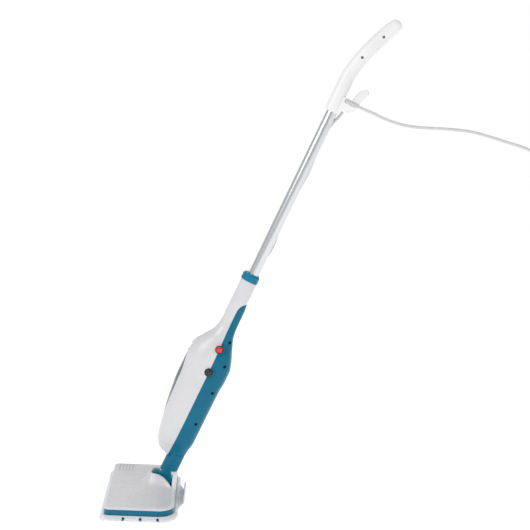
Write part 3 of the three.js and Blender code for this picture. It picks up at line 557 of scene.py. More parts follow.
def microfibre(name, colour):
    """A looped microfibre pile: small tufts, paler on their tops as painted highlight and darker between
    them as painted shade, a soft sheen and matted patches.
    """
    finish = Finish(name)
    tufts = finish.node("ShaderNodeTexVoronoi", {"Scale": 420})
    finish.link(finish.place, tufts.inputs["Vector"])
    matted = finish.noise(30, 4)
    # Painted light: the tufts' tone is a painted highlight at each tuft's middle and painted shade in the
    # gaps between tufts.
    tone = finish.colours(
        tufts.outputs["Distance"],
        [(0.0, shade(colour, 1.35)), (0.45, colour), (0.9, shade(colour, 0.5))],
    )
    half = {"Factor": 0.5}
    blend = finish.node("ShaderNodeMix", half, data_type="RGBA", blend_type="MULTIPLY")
    finish.link(tone, blend.inputs["A"])
    worn = finish.colours(matted, [(0.3, (0.75, 0.78, 0.82, 1)), (0.7, (1, 1, 1, 1))])
    finish.link(worn, blend.inputs["B"])
    finish.link(blend.outputs["Result"], finish.shader.inputs["Base Color"])
    finish.polish(matted, 0.85, 0.98)
    finish.bumps((tufts.outputs["Distance"], 0.8, 0.0015), (finish.noise(3000, 2), 0.4, 0.0002))
    finish.set(Sheen_Weight=0.6, Sheen_Roughness=0.4)
    return finish.material


def circuit(name, colour):
    """A green board with traces and solder spots."""
    finish = Finish(name)
    bricks = {"Scale": 160, "Mortar Size": 0.06, "Mortar": (0.45, 0.3, 0.1, 1)}
    bricks.update({"Color1": colour, "Color2": shade(colour, 0.8)})
    traces = finish.node("ShaderNodeTexBrick", bricks)
    finish.link(finish.place, traces.inputs["Vector"])
    finish.link(traces.outputs["Color"], finish.shader.inputs["Base Color"])
    finish.polish(finish.noise(90), 0.3, 0.5)
    finish.bumps((traces.outputs["Fac"], 0.3, 0.0001))
    return finish.material


# Each finish's maker, name and screen colour, then the maker's own settings in order.
FINISHES = [
    (plastic, "white_plastic", (212, 212, 215), 0.26, 0.1, 0.1, 0.05),
    (plastic, "teal_plastic", (0, 104, 134), 0.24, 0.15, 0.0, 0.0, 1.3),
    (plastic, "bright_teal_plastic", (0, 122, 152), 0.26, 0.15, 0.0, 0.0, 1.33),
    (brushed_metal, "tube_metal", (214, 215, 218)),
    (brushed_metal, "pin_steel", (150, 152, 156), 0.35, (900, 900, 900)),
    (tinted_glass, "smoked_plastic", (118, 124, 130)),
    (plastic, "black_plastic", (38, 39, 42), 0.42, 0.4),
    (plastic, "red_lens", (206, 22, 34), 0.16, 0.05, 0.8, 0.12),
    (rubber, "grey_rubber", (140, 143, 146)),
    (rubber, "cord_sheath", (208, 205, 205), 0.45, 0.25),
    (brushed_metal, "brass", (190, 155, 95), 0.35, (700, 700, 700)),
    (circuit, "board_green", (40, 108, 70)),
    (milky, "milky_plastic", (226, 229, 234)),
    (microfibre, "blue_cloth", (38, 88, 148)),
    (plastic, "grip_plastic", (232, 232, 232), 0.34, 0.08, 0.0, 0.06),
    (rubber, "pale_rubber", (200, 200, 200), 0.5, 0.2),
    # A dark copy of the screw steel, as painted shade for the casing screws deep in their wells.
    (brushed_metal, "black_steel", (52, 54, 58), 0.4, (900, 900, 900)),
]
finishes = {name: maker(name, linear(*colour), *rest) for maker, name, colour, *rest in FINISHES}

# ---- the lead ----


def coil_points():
    """The wound part: it slips in over the top, then fills four columns of three turns."""
    rest = []
    for column, radius in enumerate(COIL_RADII):
        levels = COIL_LEVELS if column % 2 == 0 else COIL_LEVELS[::-1]
        rest.extend((radius, level) for level in levels)
    points = []
    rise = 5
    last = int(COIL_STEPS * (len(rest) - 0.25))
    for n in range(1, last + 1):
        turn, share = min(n // COIL_STEPS, len(rest) - 1), (n % COIL_STEPS) / COIL_STEPS
        radius, level = rest[turn]
        if turn == 0:
            radius = COIL_MIDDLE + (radius - COIL_MIDDLE) * step(share / 0.3)
            level = COIL_OVER + (level - COIL_OVER) * step((share - 0.3) / 0.3)
        else:
            before = rest[turn - 1]
            move = step(share / 0.25)
            radius = before[0] + (radius - before[0]) * move
            level = before[1] + (level - before[1]) * move
        if n > last - rise:
            level += (PLUG_Z - level) * step((n - last + rise) / rise)
        angle = 2 * math.pi * n / COIL_STEPS
        points.append((radius * math.cos(angle), COIL["y"] + radius * math.sin(angle), level))
    return points


def make_cord():
    leave = POLE @ Vector((SLEEVE["x"], SLEEVE["end"] + GAP, SLEEVE["z"]))
    route = [
        tuple(leave), (14.6, 468, 964), (14.5, 485, 958), (14, 514, 946), (13, 543, 937), (12, 575, 931),
        (11, 614, 929), (10, 657, 929), (9, 688, 928), (8, 722, 925), (7, 757, 918), (6, 801, 907),
        (5, 864, 889), (5, 920, 858), (6, 966, 806), (8, 990, 730), (10, 1000, 630), (14, 1004, 500),
        (18, 1004, 370), (24, 1003, 240), (31, 1006, 140), (36, 1022, 76), (COIL_MIDDLE, 1050, 40),
        (COIL_MIDDLE, COIL["y"] - 1, COIL_OVER),
    ]
    route += coil_points() + [(x, PLUG_Y, PLUG_Z) for x in (16, 33)]
    cord = strand("mains_cord", route, CORD_RADIUS, "pole", "cord_sheath", ["power_cord", "cord_coil"])


def gland_point(distance):
    tilt = math.radians(GLAND["tilt"])
    return (
        GLAND["x"] - distance * math.sin(tilt), GLAND["y"], GLAND["z"] + distance * math.cos(tilt),
    )


def make_clipped_lead():
    under_hook = (-3.4, 6.8, 956.4)
    points = [
        gland_point(GLAND["end"] + GAP), gland_point(GLAND["end"] + 4), (-33.6, -12.5, 502),
        (-31, -11.5, 516), (-25, -10.5, 530), (-18.5, -8, 556), (-14, -4.5, 578), (-11.5, -2.2, 601),
        (-12.5, -4.2, 626), (-15, -6.5, 650), (-16, -7.7, 690), (-14.8, -6.2, 725), (-13, -4.5, 760),
        (-12, -3.1, 795), (-14, -5.4, 836), (-15.5, -7.5, 880), (-12, -2, 922), (-5, 5, 945), under_hook,
    ]
    strand("clipped_lead", points, CORD_RADIUS, "pole", "cord_sheath", ["tube_lead"], tilted=True)


def ribbed(start, end, first, last, ribs, depth=0.5):
    """A profile that tapers from one radius to another, with ribs."""
    profile = []
    pitch = (end - start) / ribs
    for i in range(ribs):
        at = start + i * pitch
        for share, drop in ((0.05, 0.0), (0.5, 0.0), (0.6, depth), (0.92, depth)):
            radius = first + (last - first) * (at + share * pitch - start) / (end - start)
            profile.append((radius - drop, at + share * pitch))
    return rounded(profile, 0.25, closed=False, steps=2)


def make_reliefs():
    radius = SLEEVE["radius"]
    profile = [(radius - 0.5, SLEEVE["start"])]
    profile += ribbed(SLEEVE["start"] + 1, 25, radius, radius, 6, 0.45)
    profile += [(radius + 0.3, 25.3), (radius + 0.3, 27), (CORD_RADIUS + 0.25, SLEEVE["end"])]
    sleeve = aim(lathe(profile, "cord_relief"), (SLEEVE["x"], 0, SLEEVE["z"]), (0, 1, 0))
    place(sleeve, "pole", "grey_rubber", ["cord_sleeve"], look="pale_rubber")
    radius, flange = GLAND["radius"], GLAND["flange"]
    collar = [(radius, flange), (radius + 2, flange + 0.2), (radius + 2, flange + 2.8)]
    profile = [(radius, GLAND["start"])] + rounded(collar, 0.4, closed=False)
    profile += ribbed(flange + 3.4, GLAND["end"] - 0.4, radius, 3.95, 4, 0.4)
    profile.append((3.8, GLAND["end"]))
    tilt = math.radians(GLAND["tilt"])
    relief = aim(lathe(profile, "body_relief"), gland_point(0), (-math.sin(tilt), 0, math.cos(tilt)))
    place(relief, "pole", "grey_rubber", ["body_gland"])


def make_plug():
    radius, length = PLUG["radius"], PLUG["length"]
    tail = [(3.7, 0)] + ribbed(0.6, 17, 4.2, 5.0, 5, 0.5)
    body = rounded(
        [(5.0, 17.5), (8, 19), (11, 26), (12.5, 33), (13.5, 37), (radius, 42), (radius, length - 1),
         (radius - 1, length)],
        1.6, closed=False,
    )
    plug = lathe(tail + body, "mains_plug")
    pins = [side * PLUG["spacing"] / 2 for side in (1, -1)]
    cut(plug, *[rod((0, y, length - 8), (0, y, length + 2), PLUG["pin"] + GAP) for y in pins])
    grooves = [rod((-30, side * 19.5, at), (30, side * 19.5, at), 2.2) for side in (1, -1)
               for at in (39.5, 45.5)]
    cut(plug, *grooves)
    aim(plug, (PLUG["x"], PLUG_Y, PLUG_Z), (1, 0, 0))
    place(plug, "pole", "cord_sheath", ["plug"], tilted=False)


def make_strap():
    inner = (COIL["inner"] - 0.7, COIL["outer"], COIL["bottom"], COIL["top"])

    def loop(grow, corner, half):
        x0, x1, z0, z1 = inner[0] - grow, inner[1] + grow, inner[2] - grow, inner[3] + grow
        outline = rounded([(-x1, z0), (-x0, z0), (-x0, z1), (-x1, z1)], corner)
        return prism(outline, "y", COIL["y"] - half, COIL["y"] + half, "coil_strap")

    strap = soften(loop(GAP + 1.1, 3.4, 5), 0.35, 2, 60)
    cut(strap, loop(GAP, 2.4, 10))
    buckle = soften(block((-57.6, COIL["y"] - 4.2, 9), (-53.4, COIL["y"] + 4.2, 16)), 0.8)
    join(strap, buckle)
    place(strap, "pole", "black_plastic", ["cord_tie"], tilted=False)


# ---- the body's shells ----

front_depth = smooth([
    (SHELL_BOTTOM, 10), (47, 20), (52, 28), (62, 35.5), (79, 42), (118, 50), (157, 57), (200, 62),
    (235, 64.5), (290, 64), (322, 58), (346, 46), (367, 31.5), (387, 25), (407, 23), (SHELL_TOP, 23),
])
rear_depth = smooth([
    (SHELL_BOTTOM, 40), (60, 41), (71, 42), (82, 44.5), (92, 45.7), (141, 46), (236, 46.8), (262, 49.2),
    (289, 49), (311, 43.5), (343, 31), (372, 21.5), (393, 19.5), (435, 19), (458, 17), (SHELL_TOP, 17),
])
half_width = smooth([
    (SHELL_BOTTOM, 18), (49, 20.5), (60, 24), (80, 34), (100, 39), (130, 43), (180, 46), (250, 47.5),
    (300, 46.5), (322, 43.5), (346, 36), (367, 28), (387, 22.5), (407, 20.5), (SHELL_TOP, 20),
])
FRONT_ROUNDNESS = 2.15
REAR_ROUNDNESS = 2.9


def body_ring(z, inset, count):
    """The casing's outline at one height, rounder in front of the parting plane than behind it."""
    angles = np.linspace(0, 2 * math.pi, count, endpoint=False)
    sine, cosine = np.sin(angles), np.cos(angles)
    exponent = 2 / np.where(sine < 0, FRONT_ROUNDNESS, REAR_ROUNDNESS)
    depth = np.maximum(np.where(sine < 0, front_depth(z), rear_depth(z)) - inset, 0.4)
    x = (half_width(z) - inset) * signed_power(cosine, exponent)
    y = TUBE_Y + depth * signed_power(sine, exponent)
    return np.stack([x, y, np.full(count, z)], axis=1)


def body_form(bottom, top, inset, name="form", count=120, spacing=3.5):
    levels = list(np.linspace(bottom, top, int((top - bottom) / spacing)))
    if bottom < SHELL_BOTTOM + 1:
        levels = sorted(set(levels + [SHELL_BOTTOM + rise for rise in (1, 2, 3.2, 4.6, 6)]))
    return skin(name, [body_ring(z, inset, count) for z in levels])


def seam_line(shift):
    """The rear shell's lower edge, which dips towards the neck, from the rear to the parting plane."""
    start = (60, 67 + shift)
    dip = bezier(start, (26, 66 + shift), (8, 40 + shift), (TUBE_Y, 51 + shift))
    return [start] + dip


def rear_region(shift):
    """The rear shell's region: behind the parting plane, above the seam and under an arch."""
    outline = [(TUBE_Y + shift, 424)]
    top = 455 - shift
    outline += bezier((TUBE_Y + shift, 424), (TUBE_Y + shift, 446), (TUBE_Y + 8, top), (4, top))
    outline += [(60, top)] + seam_line(shift / 2)
    outline[-1] = (TUBE_Y + shift, outline[-1][1])
    return prism(outline, "x", -60, 60)


def filler_point(distance):
    """A point on the filler's axis, at a distance out from its seat."""
    tilt = math.radians(FILLER["tilt"])
    return (0, FILLER["y"] - distance * math.cos(tilt), FILLER["z"] + distance * math.sin(tilt))


def window_prism(inset, y0, y1):
    """The leaf-shaped window, drawn in by inset."""
    bottom, top = WINDOW["bottom"] + 2 * inset, WINDOW["top"] - 2 * inset
    half, widest = WINDOW["half"] - inset, WINDOW["widest"]
    right = bezier((0, bottom), (half * 0.7, bottom + 30), (half, widest - 45), (half, widest), 20)
    right += bezier((half, widest), (half, widest + 32), (half * 0.45, top - 8), (0, top), 20)
    left = [(-x, z) for x, z in right[::-1]]
    return prism(right + left[1:] + [(0, bottom)], "y", y0, y1)


def control_rod(control, x0, x1, radius):
    return rod((x0, TUBE_Y, control["z"]), (x1, TUBE_Y, control["z"]), radius, sides=96)


def on_control(piece, control):
    """Turn a piece made along +Z to a control's axis."""
    return aim(piece, (0, TUBE_Y, control["z"]), (1, 0, 0))


def tube_bore(bottom, top, sides=96):
    return rod((0, TUBE_Y, bottom), (0, TUBE_Y, top), TUBE_RADIUS + GAP, sides=sides)


def screw_seats():
    """Each casing screw's side and the point where its axis meets the rear shell's surface."""
    for side in (1, -1):
        for z, back in SCREWS:
            share = back / float(rear_depth(z))
            across = float(half_width(z)) * (1 - share**REAR_ROUNDNESS) ** (1 / REAR_ROUNDNESS)
            yield side, across, TUBE_Y + back, z


def screw_bosses(casing):
    """The screws' bosses as one solid, trimmed to the casing's outside."""
    radius, depth = SCREW_WELL["radius"], SCREW_WELL["depth"]
    bosses = [
        rod((side * (x - depth - 3), y, z), (side * x, y, z), radius + 2)
        for side, x, y, z in screw_seats()
    ]
    return keep(join(*bosses), copy(casing, "tool"))


def make_casing():
    """The hollow casing before it is parted, and the bosses for its screws."""
    outer = body_form(SHELL_BOTTOM, SHELL_TOP, 0, "casing")
    bosses = screw_bosses(outer)
    for control in (POWER, KNOB):
        join(outer, soften(control_rod(control, 20, control["seat"], control["boss"]), 0.7, 3, 60))
    join(outer, rod(gland_point(2), gland_point(GLAND["flange"] - 1), GLAND["radius"] + 3.4))
    cut(outer, body_form(SHELL_BOTTOM + 4, SHELL_TOP - 5, WALL, count=72, spacing=6))
    for control in (POWER, KNOB):
        cut(outer, control_rod(control, 15, 60, control["hole"] + GAP))
    cut(outer, tube_bore(440, SHELL_TOP + 5))
    cut(outer, rod(gland_point(-12), gland_point(30), GLAND["radius"] + GAP))
    return outer, bosses


def cut_ring_grooves(rear):
    """Cut the grooves round the controls into the rear shell, down to a core just inside it."""
    core = body_form(SHELL_BOTTOM, SHELL_TOP, 0.9, "core")
    inner, outside = RING_GROOVE
    for control in (POWER, KNOB):
        section = rounded([(inner, 20), (outside, 20), (outside, 70), (inner, 70)], 0.1)
        groove = on_control(lathe(section, closed=True), control)
        cut(rear, cut(groove, copy(core, "tool")))
    bpy.data.objects.remove(core)


def make_shells():
    outer, bosses = make_casing()
    rear = join(keep(copy(outer, "rear_casing"), rear_region(GAP)), bosses)
    radius, depth = SCREW_WELL["radius"], SCREW_WELL["depth"]
    for side, x, y, z in screw_seats():
        cut(rear, rod((side * (x - depth), y, z), (side * (x + 12), y, z), radius + GAP))
    cut_ring_grooves(rear)
    front = cut(outer, rear_region(0), block((-60, TUBE_Y, 20), (60, 60, 69)))
    cut(front, rod(filler_point(-12), filler_point(20), FILLER["radius"] + GAP, sides=96),
        window_prism(0, -100, -50))
    front.name = "front_casing"
    place(front, "pole", "white_plastic", ["front_shell"])
    place(rear, "pole", "teal_plastic", ["rear_shell"])


def screw_head(radius, height, name):
    """A pan head with a cross recess, standing on z = 0."""
    profile = [(radius, 0), (radius, height), (0.3, height + 0.25)]
    head = lathe(rounded(profile, 0.5, closed=False), name, 32)
    for half in ((radius * 0.6, 0.45), (0.45, radius * 0.6)):
        cut(head, block((-half[0], -half[1], height - 1.2), (half[0], half[1], height + 1)))
    return head


def make_screws():
    for i, (side, x, y, z) in enumerate(screw_seats()):
        head = screw_head(SCREW_WELL["radius"], 2.4, f"casing_screw_{i + 1}")
        aim(head, (side * (x - SCREW_WELL["depth"] + GAP), y, z), (side, 0, 0))
        # The casing screws take the darker steel as painted shade for their deep wells; the grip screws
        # keep the plain steel.
        place(head, "pole", "pin_steel", [f"shell_screw_{i + 1}"], look="black_steel")
    for i, (y, z) in enumerate(GRIP_SCREWS):
        head = aim(screw_head(3, 2.0, f"grip_screw_{i + 1}"), (9 + GAP, y, z), (1, 0, 0))
        place(head, "pole", "pin_steel", [f"handle_screw_{i + 1}"])


def make_tank():
    room = block((-60, -100, 104), (60, -34, 322))
    tank = keep(body_form(80, 340, WALL + 0.7, "tank"), room)
    pane = keep(body_form(80, 340, 0.5, "pane"), window_prism(GAP + 0.1, -100, -56))
    join(tank, pane, rod(filler_point(-17), filler_point(-5), 10.5))
    hollow = block((-60, -100, 106), (60, -36, 320))
    cavity = keep(body_form(80, 340, WALL + 2.7, count=72, spacing=6), hollow)
    cut(tank, cavity, rod(filler_point(-19), filler_point(4), 8.5),
        rod(filler_point(-5), filler_point(15), FILLER["radius"] + 0.6))
    place(tank, "pole", "smoked_plastic", ["water_tank"])


def make_cap():
    face = FILLER["radius"]
    profile = [(face - 2, -4.6), (face, -3.4), (face, 0), (face - 1.2, 0.8), (3, 1.2)]
    cap = lathe(rounded(profile, 0.5, closed=False), "filler_cap")
    for y in (1.2, -4.2):
        cut(cap, soften(block((-5, y, -0.4), (5, y + 3, 4)), 1.4, 4))
    tilt = math.radians(FILLER["tilt"])
    turn = Matrix.Rotation(math.pi / 2 - tilt, 4, "X")
    cap.data.transform(Matrix.Translation(filler_point(0)) @ turn)
    place(cap, "cap", "white_plastic", ["tank_cap"])


# ---- the controls ----


def make_bezels():
    for control, name, node in (
        (POWER, "power_ring", "power_bezel"), (KNOB, "knob_ring", "knob_bezel"),
    ):
        hole, seat = control["hole"], control["seat"]
        profile = [
            (hole - BEZEL_LIP, seat - 11), (hole, seat - 11), (hole, seat + GAP), (hole + 1, seat + GAP),
            (hole + 1, seat + 1.3), (hole, seat + 2.3), (hole - BEZEL_LIP, seat + 1.6),
        ]
        ring = on_control(lathe(rounded(profile, 0.35), name, closed=True), control)
        place(ring, "pole", "black_plastic", [node])


def make_button():
    radius, seat = POWER["hole"] - BEZEL_LIP - GAP, POWER["seat"]
    lens = [(radius - 0.8, seat - 9), (radius - 0.8, seat), (radius, seat + 0.6)]
    lens += [(radius * math.cos(a), seat + 0.8 + 2.2 * math.sin(a)) for a in np.linspace(0.15, 1.5, 12)]
    key = on_control(lathe(lens, "power_key"), POWER)
    place(key, "button", "red_lens", ["power_button"])


def make_knob():
    radius, seat = KNOB["hole"] - BEZEL_LIP - GAP, KNOB["seat"]
    profile = [(radius - 1, seat - 10), (radius, seat - 8), (radius, seat + 3.4), (radius - 1, seat + 4.4),
               (2.0, seat + 4.4)]
    dial = lathe(rounded(profile, 0.6, closed=False), "steam_dial")
    marks = 24
    for i in range(marks):
        angle = 2 * math.pi * i / marks
        spot = (radius * math.cos(angle), radius * math.sin(angle))
        cut(dial, rod((*spot, seat + 1.2), (*spot, seat + 6), 0.45, sides=12))
    cut(dial, block((1, -0.7, seat + 3.6), (radius - 1.5, 0.7, seat + 6)))
    dial.data.transform(Matrix.Rotation(math.radians(180), 4, "Z"))
    on_control(dial, KNOB)
    place(dial, "knob", "black_plastic", ["steam_knob"])


# ---- tube, collar and grip ----


def make_tube():
    bore = TUBE_RADIUS - 1.2
    profile = rounded([(bore, 440), (TUBE_RADIUS, 440), (TUBE_RADIUS, 1012), (bore, 1012)], 0.3)
    pipe = lathe(profile, "pipe", 128, closed=True)
    pipe.data.transform(Matrix.Translation((0, TUBE_Y, 0)))
    place(pipe, "pole", "tube_metal", ["tube"])
    top = SHELL_TOP
    profile = [(19, top + GAP), (20.4, top + GAP), (21.2, top + 2), (21.2, top + 7), (20.5, top + 8),
               (21.0, top + 9), (21.0, top + 14), (18, top + 18.6), (13.5, top + 19)]
    ring = lathe(rounded(profile, 0.9, closed=False), "neck_ring", 128)
    ring.data.transform(Matrix.Translation((0, TUBE_Y - 3.4, 0)))
    cut(ring, tube_bore(top - 2, top + 30, 128))
    place(ring, "pole", "bright_teal_plastic", ["collar"])


GRIP_LINE = [(-18.3, 946.5), (-18.3, 975), (-18.3, 1010), (-17.8, 1040), (-9, 1082), (4.5, 1124),
             (20, 1162), (34, 1195)]


def between(p, q, start, end, t):
    """The point at t on the line that passes p at start and q at end."""
    return p * (end - t) / (end - start) + q * (t - start) / (end - start)


def centripetal(points):
    """A centripetal Catmull-Rom line through the points, sampled evenly along its length."""
    knots = [np.array(point, float) for point in points]
    knots = [2 * knots[0] - knots[1]] + knots + [2 * knots[-1] - knots[-2]]
    line = []
    for p0, p1, p2, p3 in zip(knots, knots[1:], knots[2:], knots[3:]):
        t0 = 0
        t1 = np.linalg.norm(p1 - p0) ** 0.5
        t2 = t1 + np.linalg.norm(p2 - p1) ** 0.5
        t3 = t2 + np.linalg.norm(p3 - p2) ** 0.5
        for t in np.linspace(t1, t2, 60, endpoint=False):
            a1 = between(p0, p1, t0, t1, t)
            a2 = between(p1, p2, t1, t2, t)
            a3 = between(p2, p3, t2, t3, t)
            b1 = between(a1, a2, t0, t2, t)
            b2 = between(a2, a3, t1, t3, t)
            line.append(between(b1, b2, t1, t2, t))
    return resample(line + [knots[-2]], 400)


grip_centre = centripetal(GRIP_LINE)
grip_closing = smooth([
    (0, 0.97), (0.004, 1), (0.25, 1), (0.4, 0.97), (0.56, 1.0), (0.9, 1.02), (0.955, 0.96), (0.98, 0.82),
    (0.995, 0.58), (1, 0.36),
])


def grip_form(growth=0.0):
    """The bent grip as one solid: oval rings square to its centre line, closing at its end."""
    slopes = np.gradient(grip_centre, axis=0)
    slopes /= np.linalg.norm(slopes, axis=1)[:, None]
    angles = np.linspace(0, 2 * math.pi, 96, endpoint=False)
    stations = list(np.linspace(0, 0.9, 60)) + list(np.linspace(0.91, 0.99, 16)) + [0.995, 0.998, 1]
    rings = []
    for t in stations:
        i = int(round(t * (len(grip_centre) - 1)))
        (y, z), (dy, dz) = grip_centre[i], slopes[i]
        across, deep = [(half + growth) * float(grip_closing(t)) for half in GRIP_HALVES]
        ring = [
            (across * math.cos(a), y + dz * deep * math.sin(a), z - dy * deep * math.sin(a))
            for a in angles
        ]
        rings.append(ring)
    return skin("grip", rings)


def make_grip():
    bored = cut(grip_form(), tube_bore(941, 1013))
    halves = (("grip_left", "handle_left", -40, -GAP / 2), ("grip_right", "handle_right", GAP / 2, 40))
    for name, node, x0, x1 in halves:
        half = keep(copy(bored, name), block((x0, -60, 900), (x1, 80, 1230)))
        if x1 > 1:
            cut(half, *[rod((9, y, z), (20, y, z), 3 + GAP) for y, z in GRIP_SCREWS])
        place(half, "pole", "white_plastic", [node], look="grip_plastic")
    bpy.data.objects.remove(bored)


def make_hook():
    bottom, top, rear = 957, 989, 31
    outline = [(-12, bottom), (14, bottom + 1)]
    for first, second, end, steps in (
        ((rear - 6, bottom + 4), (rear - 1, bottom + 9), (rear, top - 8), 10),
        ((rear + 2, top + 6), (38, 1006), (42, 1015), 8),
        ((42.4, 1020), (40, 1024), (37, 1026), 6),
        ((31, 1026.6), (26, 1021), (23, 1014), 8),
        ((19.5, 1005), (17.5, 997), (16, top), 8),
    ):
        outline += bezier(outline[-1], first, second, end, steps)
    outline += [(-12, top + 1)]
    form = soften(prism(outline, "x", -13, 13, "lead_hook"), 2.2, 4, 50)
    cut(form, grip_form(0.45), rod((SLEEVE["x"], SLEEVE["start"] - 2, SLEEVE["z"]),
                                   (SLEEVE["x"], 60, SLEEVE["z"]), SLEEVE["radius"] + 0.5))
    place(form, "pole", "white_plastic", ["cord_hook"], look="grip_plastic")


# ---- neck, yoke and elbow ----

NECK_HALF = 15.2
NECK_REAR = 24.5
TONGUE_HALF = 8
EAR = {"radius": 9.5, "end": 13.9}
SKIRT = {"front": 16, "rear": 59.6, "inset": 3.4, "drop": 2.2, "dish": 2.6, "thick": 2.4}


def neck_ring(z, inset):
    front = -17 + (TUBE_Y + 17.45) * step((z - 41) / 3)
    middle, depth = (front + NECK_REAR) / 2, (NECK_REAR - front) / 2 - inset
    width = NECK_HALF + 0.6 + (20 - NECK_HALF - 0.6) * (z - 4) / (NECK_SEAM - 4) - inset
    angles = np.linspace(0, 2 * math.pi, 96, endpoint=False)
    x = width * signed_power(np.cos(angles), 0.8)
    y = middle + depth * signed_power(np.sin(angles), 0.8)
    return np.stack([x, y, np.full(len(angles), z)], axis=1)


def make_neck():
    levels = list(np.linspace(-2, 70, 40))
    neck = skin("neck_casing", [neck_ring(z, 0) for z in levels])
    cut(neck, skin("tool", [neck_ring(z, 3) for z in (17, 24, 33, 42, 43, 74)]))
    above_seam = seam_line(-GAP / 2)
    above_seam[-1] = (TUBE_Y - 6, above_seam[-1][1])
    cut(neck, prism(above_seam + [(TUBE_Y - 6, 95), (60, 95)], "x", -40, 40))
    cut(neck, prism([(-30, -20), (30, -20), (30, 12), (-30, -4.3)], "x", -40, 40))
    for side in (1, -1):
        low, high = sorted((side * (TONGUE_HALF + GAP), side * EAR["end"]))
        ear = soften(rod((low, 0, 0), (high, 0, 0), EAR["radius"], sides=96), 0.8, 3, 60)
        join(neck, ear, block((low, -9.4, 0), (high, 9.4, 13)))
    cut(neck, block((-TONGUE_HALF - GAP, -14.2, -20), (TONGUE_HALF + GAP, 40, 12)),
        block((-3.8, -40, -20), (3.8, -14, 7)),
        rod((-12 - GAP, 0, 0), (12 + GAP, 0, 0), TILT_PIN + GAP), rod((0, 2, 5), (0, 2, 30), 4.2))
    place(neck, "pole", "teal_plastic", ["neck"])


def yoke_saddle():
    """The yoke's middle, which holds the tilt pin and turns on the swivel pins."""
    outline = [(12.5, 0), (6.5, 6.2)]
    outline += [(9 * math.cos(a), 9 * math.sin(a)) for a in np.linspace(0.76, math.pi, 18)]
    outline += [(-13, -9), (-23, -10)]
    outline += bezier((-23, -10), (-25.2, -10.6), (-26.3, -12), (-26.3, -14), 6)
    outline += [(-26.3, -18)]
    outline += bezier((-26.3, -18), (-26.1, -20), (-24.8, -21), (-22.5, -21), 6)
    outline += [(-22, -35), (19, -35), (19, -20), (21.5, -17.5), (20, -12.5), (16.5, -6)]
    body = soften(prism(outline, "x", -TONGUE_HALF, TONGUE_HALF, "saddle"), 1.2, 4, 60)
    cut(body, block((-20, -40, -40), (-5.5, -14, 20)), block((5.5, -40, -40), (20, -14, 20)))
    join(body, rod((0, -22, SWIVEL_Z), (0, 19, SWIVEL_Z), 7.5))
    body.data.transform(POLE)
    return body


def yoke_skirt():
    """The skirt in the cover's opening, below its rim, dished in the middle and clear all round."""
    rings = []
    for y in np.linspace(SKIRT["front"], SKIRT["rear"], 40):
        half = float(opening_half(y)) - SKIRT["inset"]
        crest = rim_height(y) - SKIRT["drop"]
        top = [
            (half * s, y, crest - SKIRT["dish"] * (1 - s * s) * (1 - 0.4 * abs(s)))
            for s in np.linspace(-1, 1, 41)
        ]
        rings.append(top + [(x, y, z - SKIRT["thick"]) for x, y, z in top[::-1]])
    return skin("tool", rings)


def make_yoke():
    body = join(yoke_saddle(), yoke_skirt())
    drill = [((0, -40, SWIVEL_Z), (0, -12, SWIVEL_Z)), ((0, 8, SWIVEL_Z), (0, 40, SWIVEL_Z))]
    tools = [rod((-20, 0, 0), (20, 0, 0), TILT_PIN + GAP)]
    tools += [rod(*ends, SWIVEL_PIN + GAP) for ends in drill]
    tools.append(block((-12, 19.3, SWIVEL_Z - 12), (12, 30, SWIVEL_Z + 7.6)))
    for tool in tools:
        tool.data.transform(POLE)
    cut(body, *tools)
    place(body, "yoke", "bright_teal_plastic", ["yoke"], tilted=False)
    bend = [(0, -15.5, -6), (0, -18, -6), (0, -21.5, -6.3), (0, -25.5, -7.4), (0, -28.6, -9.8),
            (0, -29.9, -13)]
    strand("steam_elbow", bend, 2.8, "yoke", "grey_rubber", ["hose_elbow"], tilted=True)


# ---- the floor head ----


def head_plan(inset=0.0, size=HEAD):
    """An outline of the head, glider or pad, with larger corners at the rear, drawn in by inset."""
    steps = 14
    half, front, rear = size["half"] - inset, size["front"] + inset, size["rear"] - inset
    front_corner = max(FRONT_CORNER - inset, 2)
    rear_corner = size.get("rear_corner", REAR_CORNER) - inset
    corners = [
        (-(half - rear_corner), rear - rear_corner, rear_corner, 90),
        (-(half - front_corner), front + front_corner, front_corner, 180),
        (half - front_corner, front + front_corner, front_corner, 270),
        (half - rear_corner, rear - rear_corner, rear_corner, 0),
    ]
    points = []
    for x, y, radius, start in corners:
        for k in range(steps + 1):
            angle = math.radians(start + 90 * k / steps)
            points.append((x + radius * math.cos(angle), y + radius * math.sin(angle)))
    return points


def evenly(points, count):
    """A closed outline resampled at even steps."""
    return resample(points + [points[0]], count, endpoint=False)


def inside_head(x, y):
    """How far in from the cover's outline a point is."""
    corner = np.where(y > 0, REAR_CORNER, FRONT_CORNER)
    across = np.abs(x) - (HEAD["half"] - corner)
    along = np.where(y > 0, y - (HEAD["rear"] - corner), HEAD["front"] + corner - y)
    outside = np.hypot(np.maximum(across, 0), np.maximum(along, 0))
    return corner - outside - np.minimum(np.maximum(across, along), 0)


OPENING = {"front": 14.5, "end": 65, "centre": 42}
RIM = {"crest": 20, "height": 67.3, "fall": 22, "length": 45.5}
COVER_LIP = 1.3
COVER_ROLL = 9
MOUND = {"height": 14.5, "spread": 72}
REAR_SLOPE = 1.92
GROOVES = (-69, -61, -53, -45, -37)
opening_half = smooth([
    (14.5, 0), (14.9, 3.5), (16.2, 6.6), (20, 9.6), (28, 11.6), (38, 14.8), (48, 21), (56, 29), (65, 39),
])


def opening_outline():
    """The outline of the opening round the joint, widening to the rear."""
    shares = np.linspace(0, 1, 60) ** 1.6
    stations = OPENING["front"] + (OPENING["end"] - OPENING["front"]) * shares
    near = [(float(opening_half(y)), y) for y in stations]
    return np.array(near + [(-x, y) for x, y in near[:0:-1]])


opening_line = opening_outline()
opening_runs = np.roll(opening_line, -1, axis=0) - opening_line


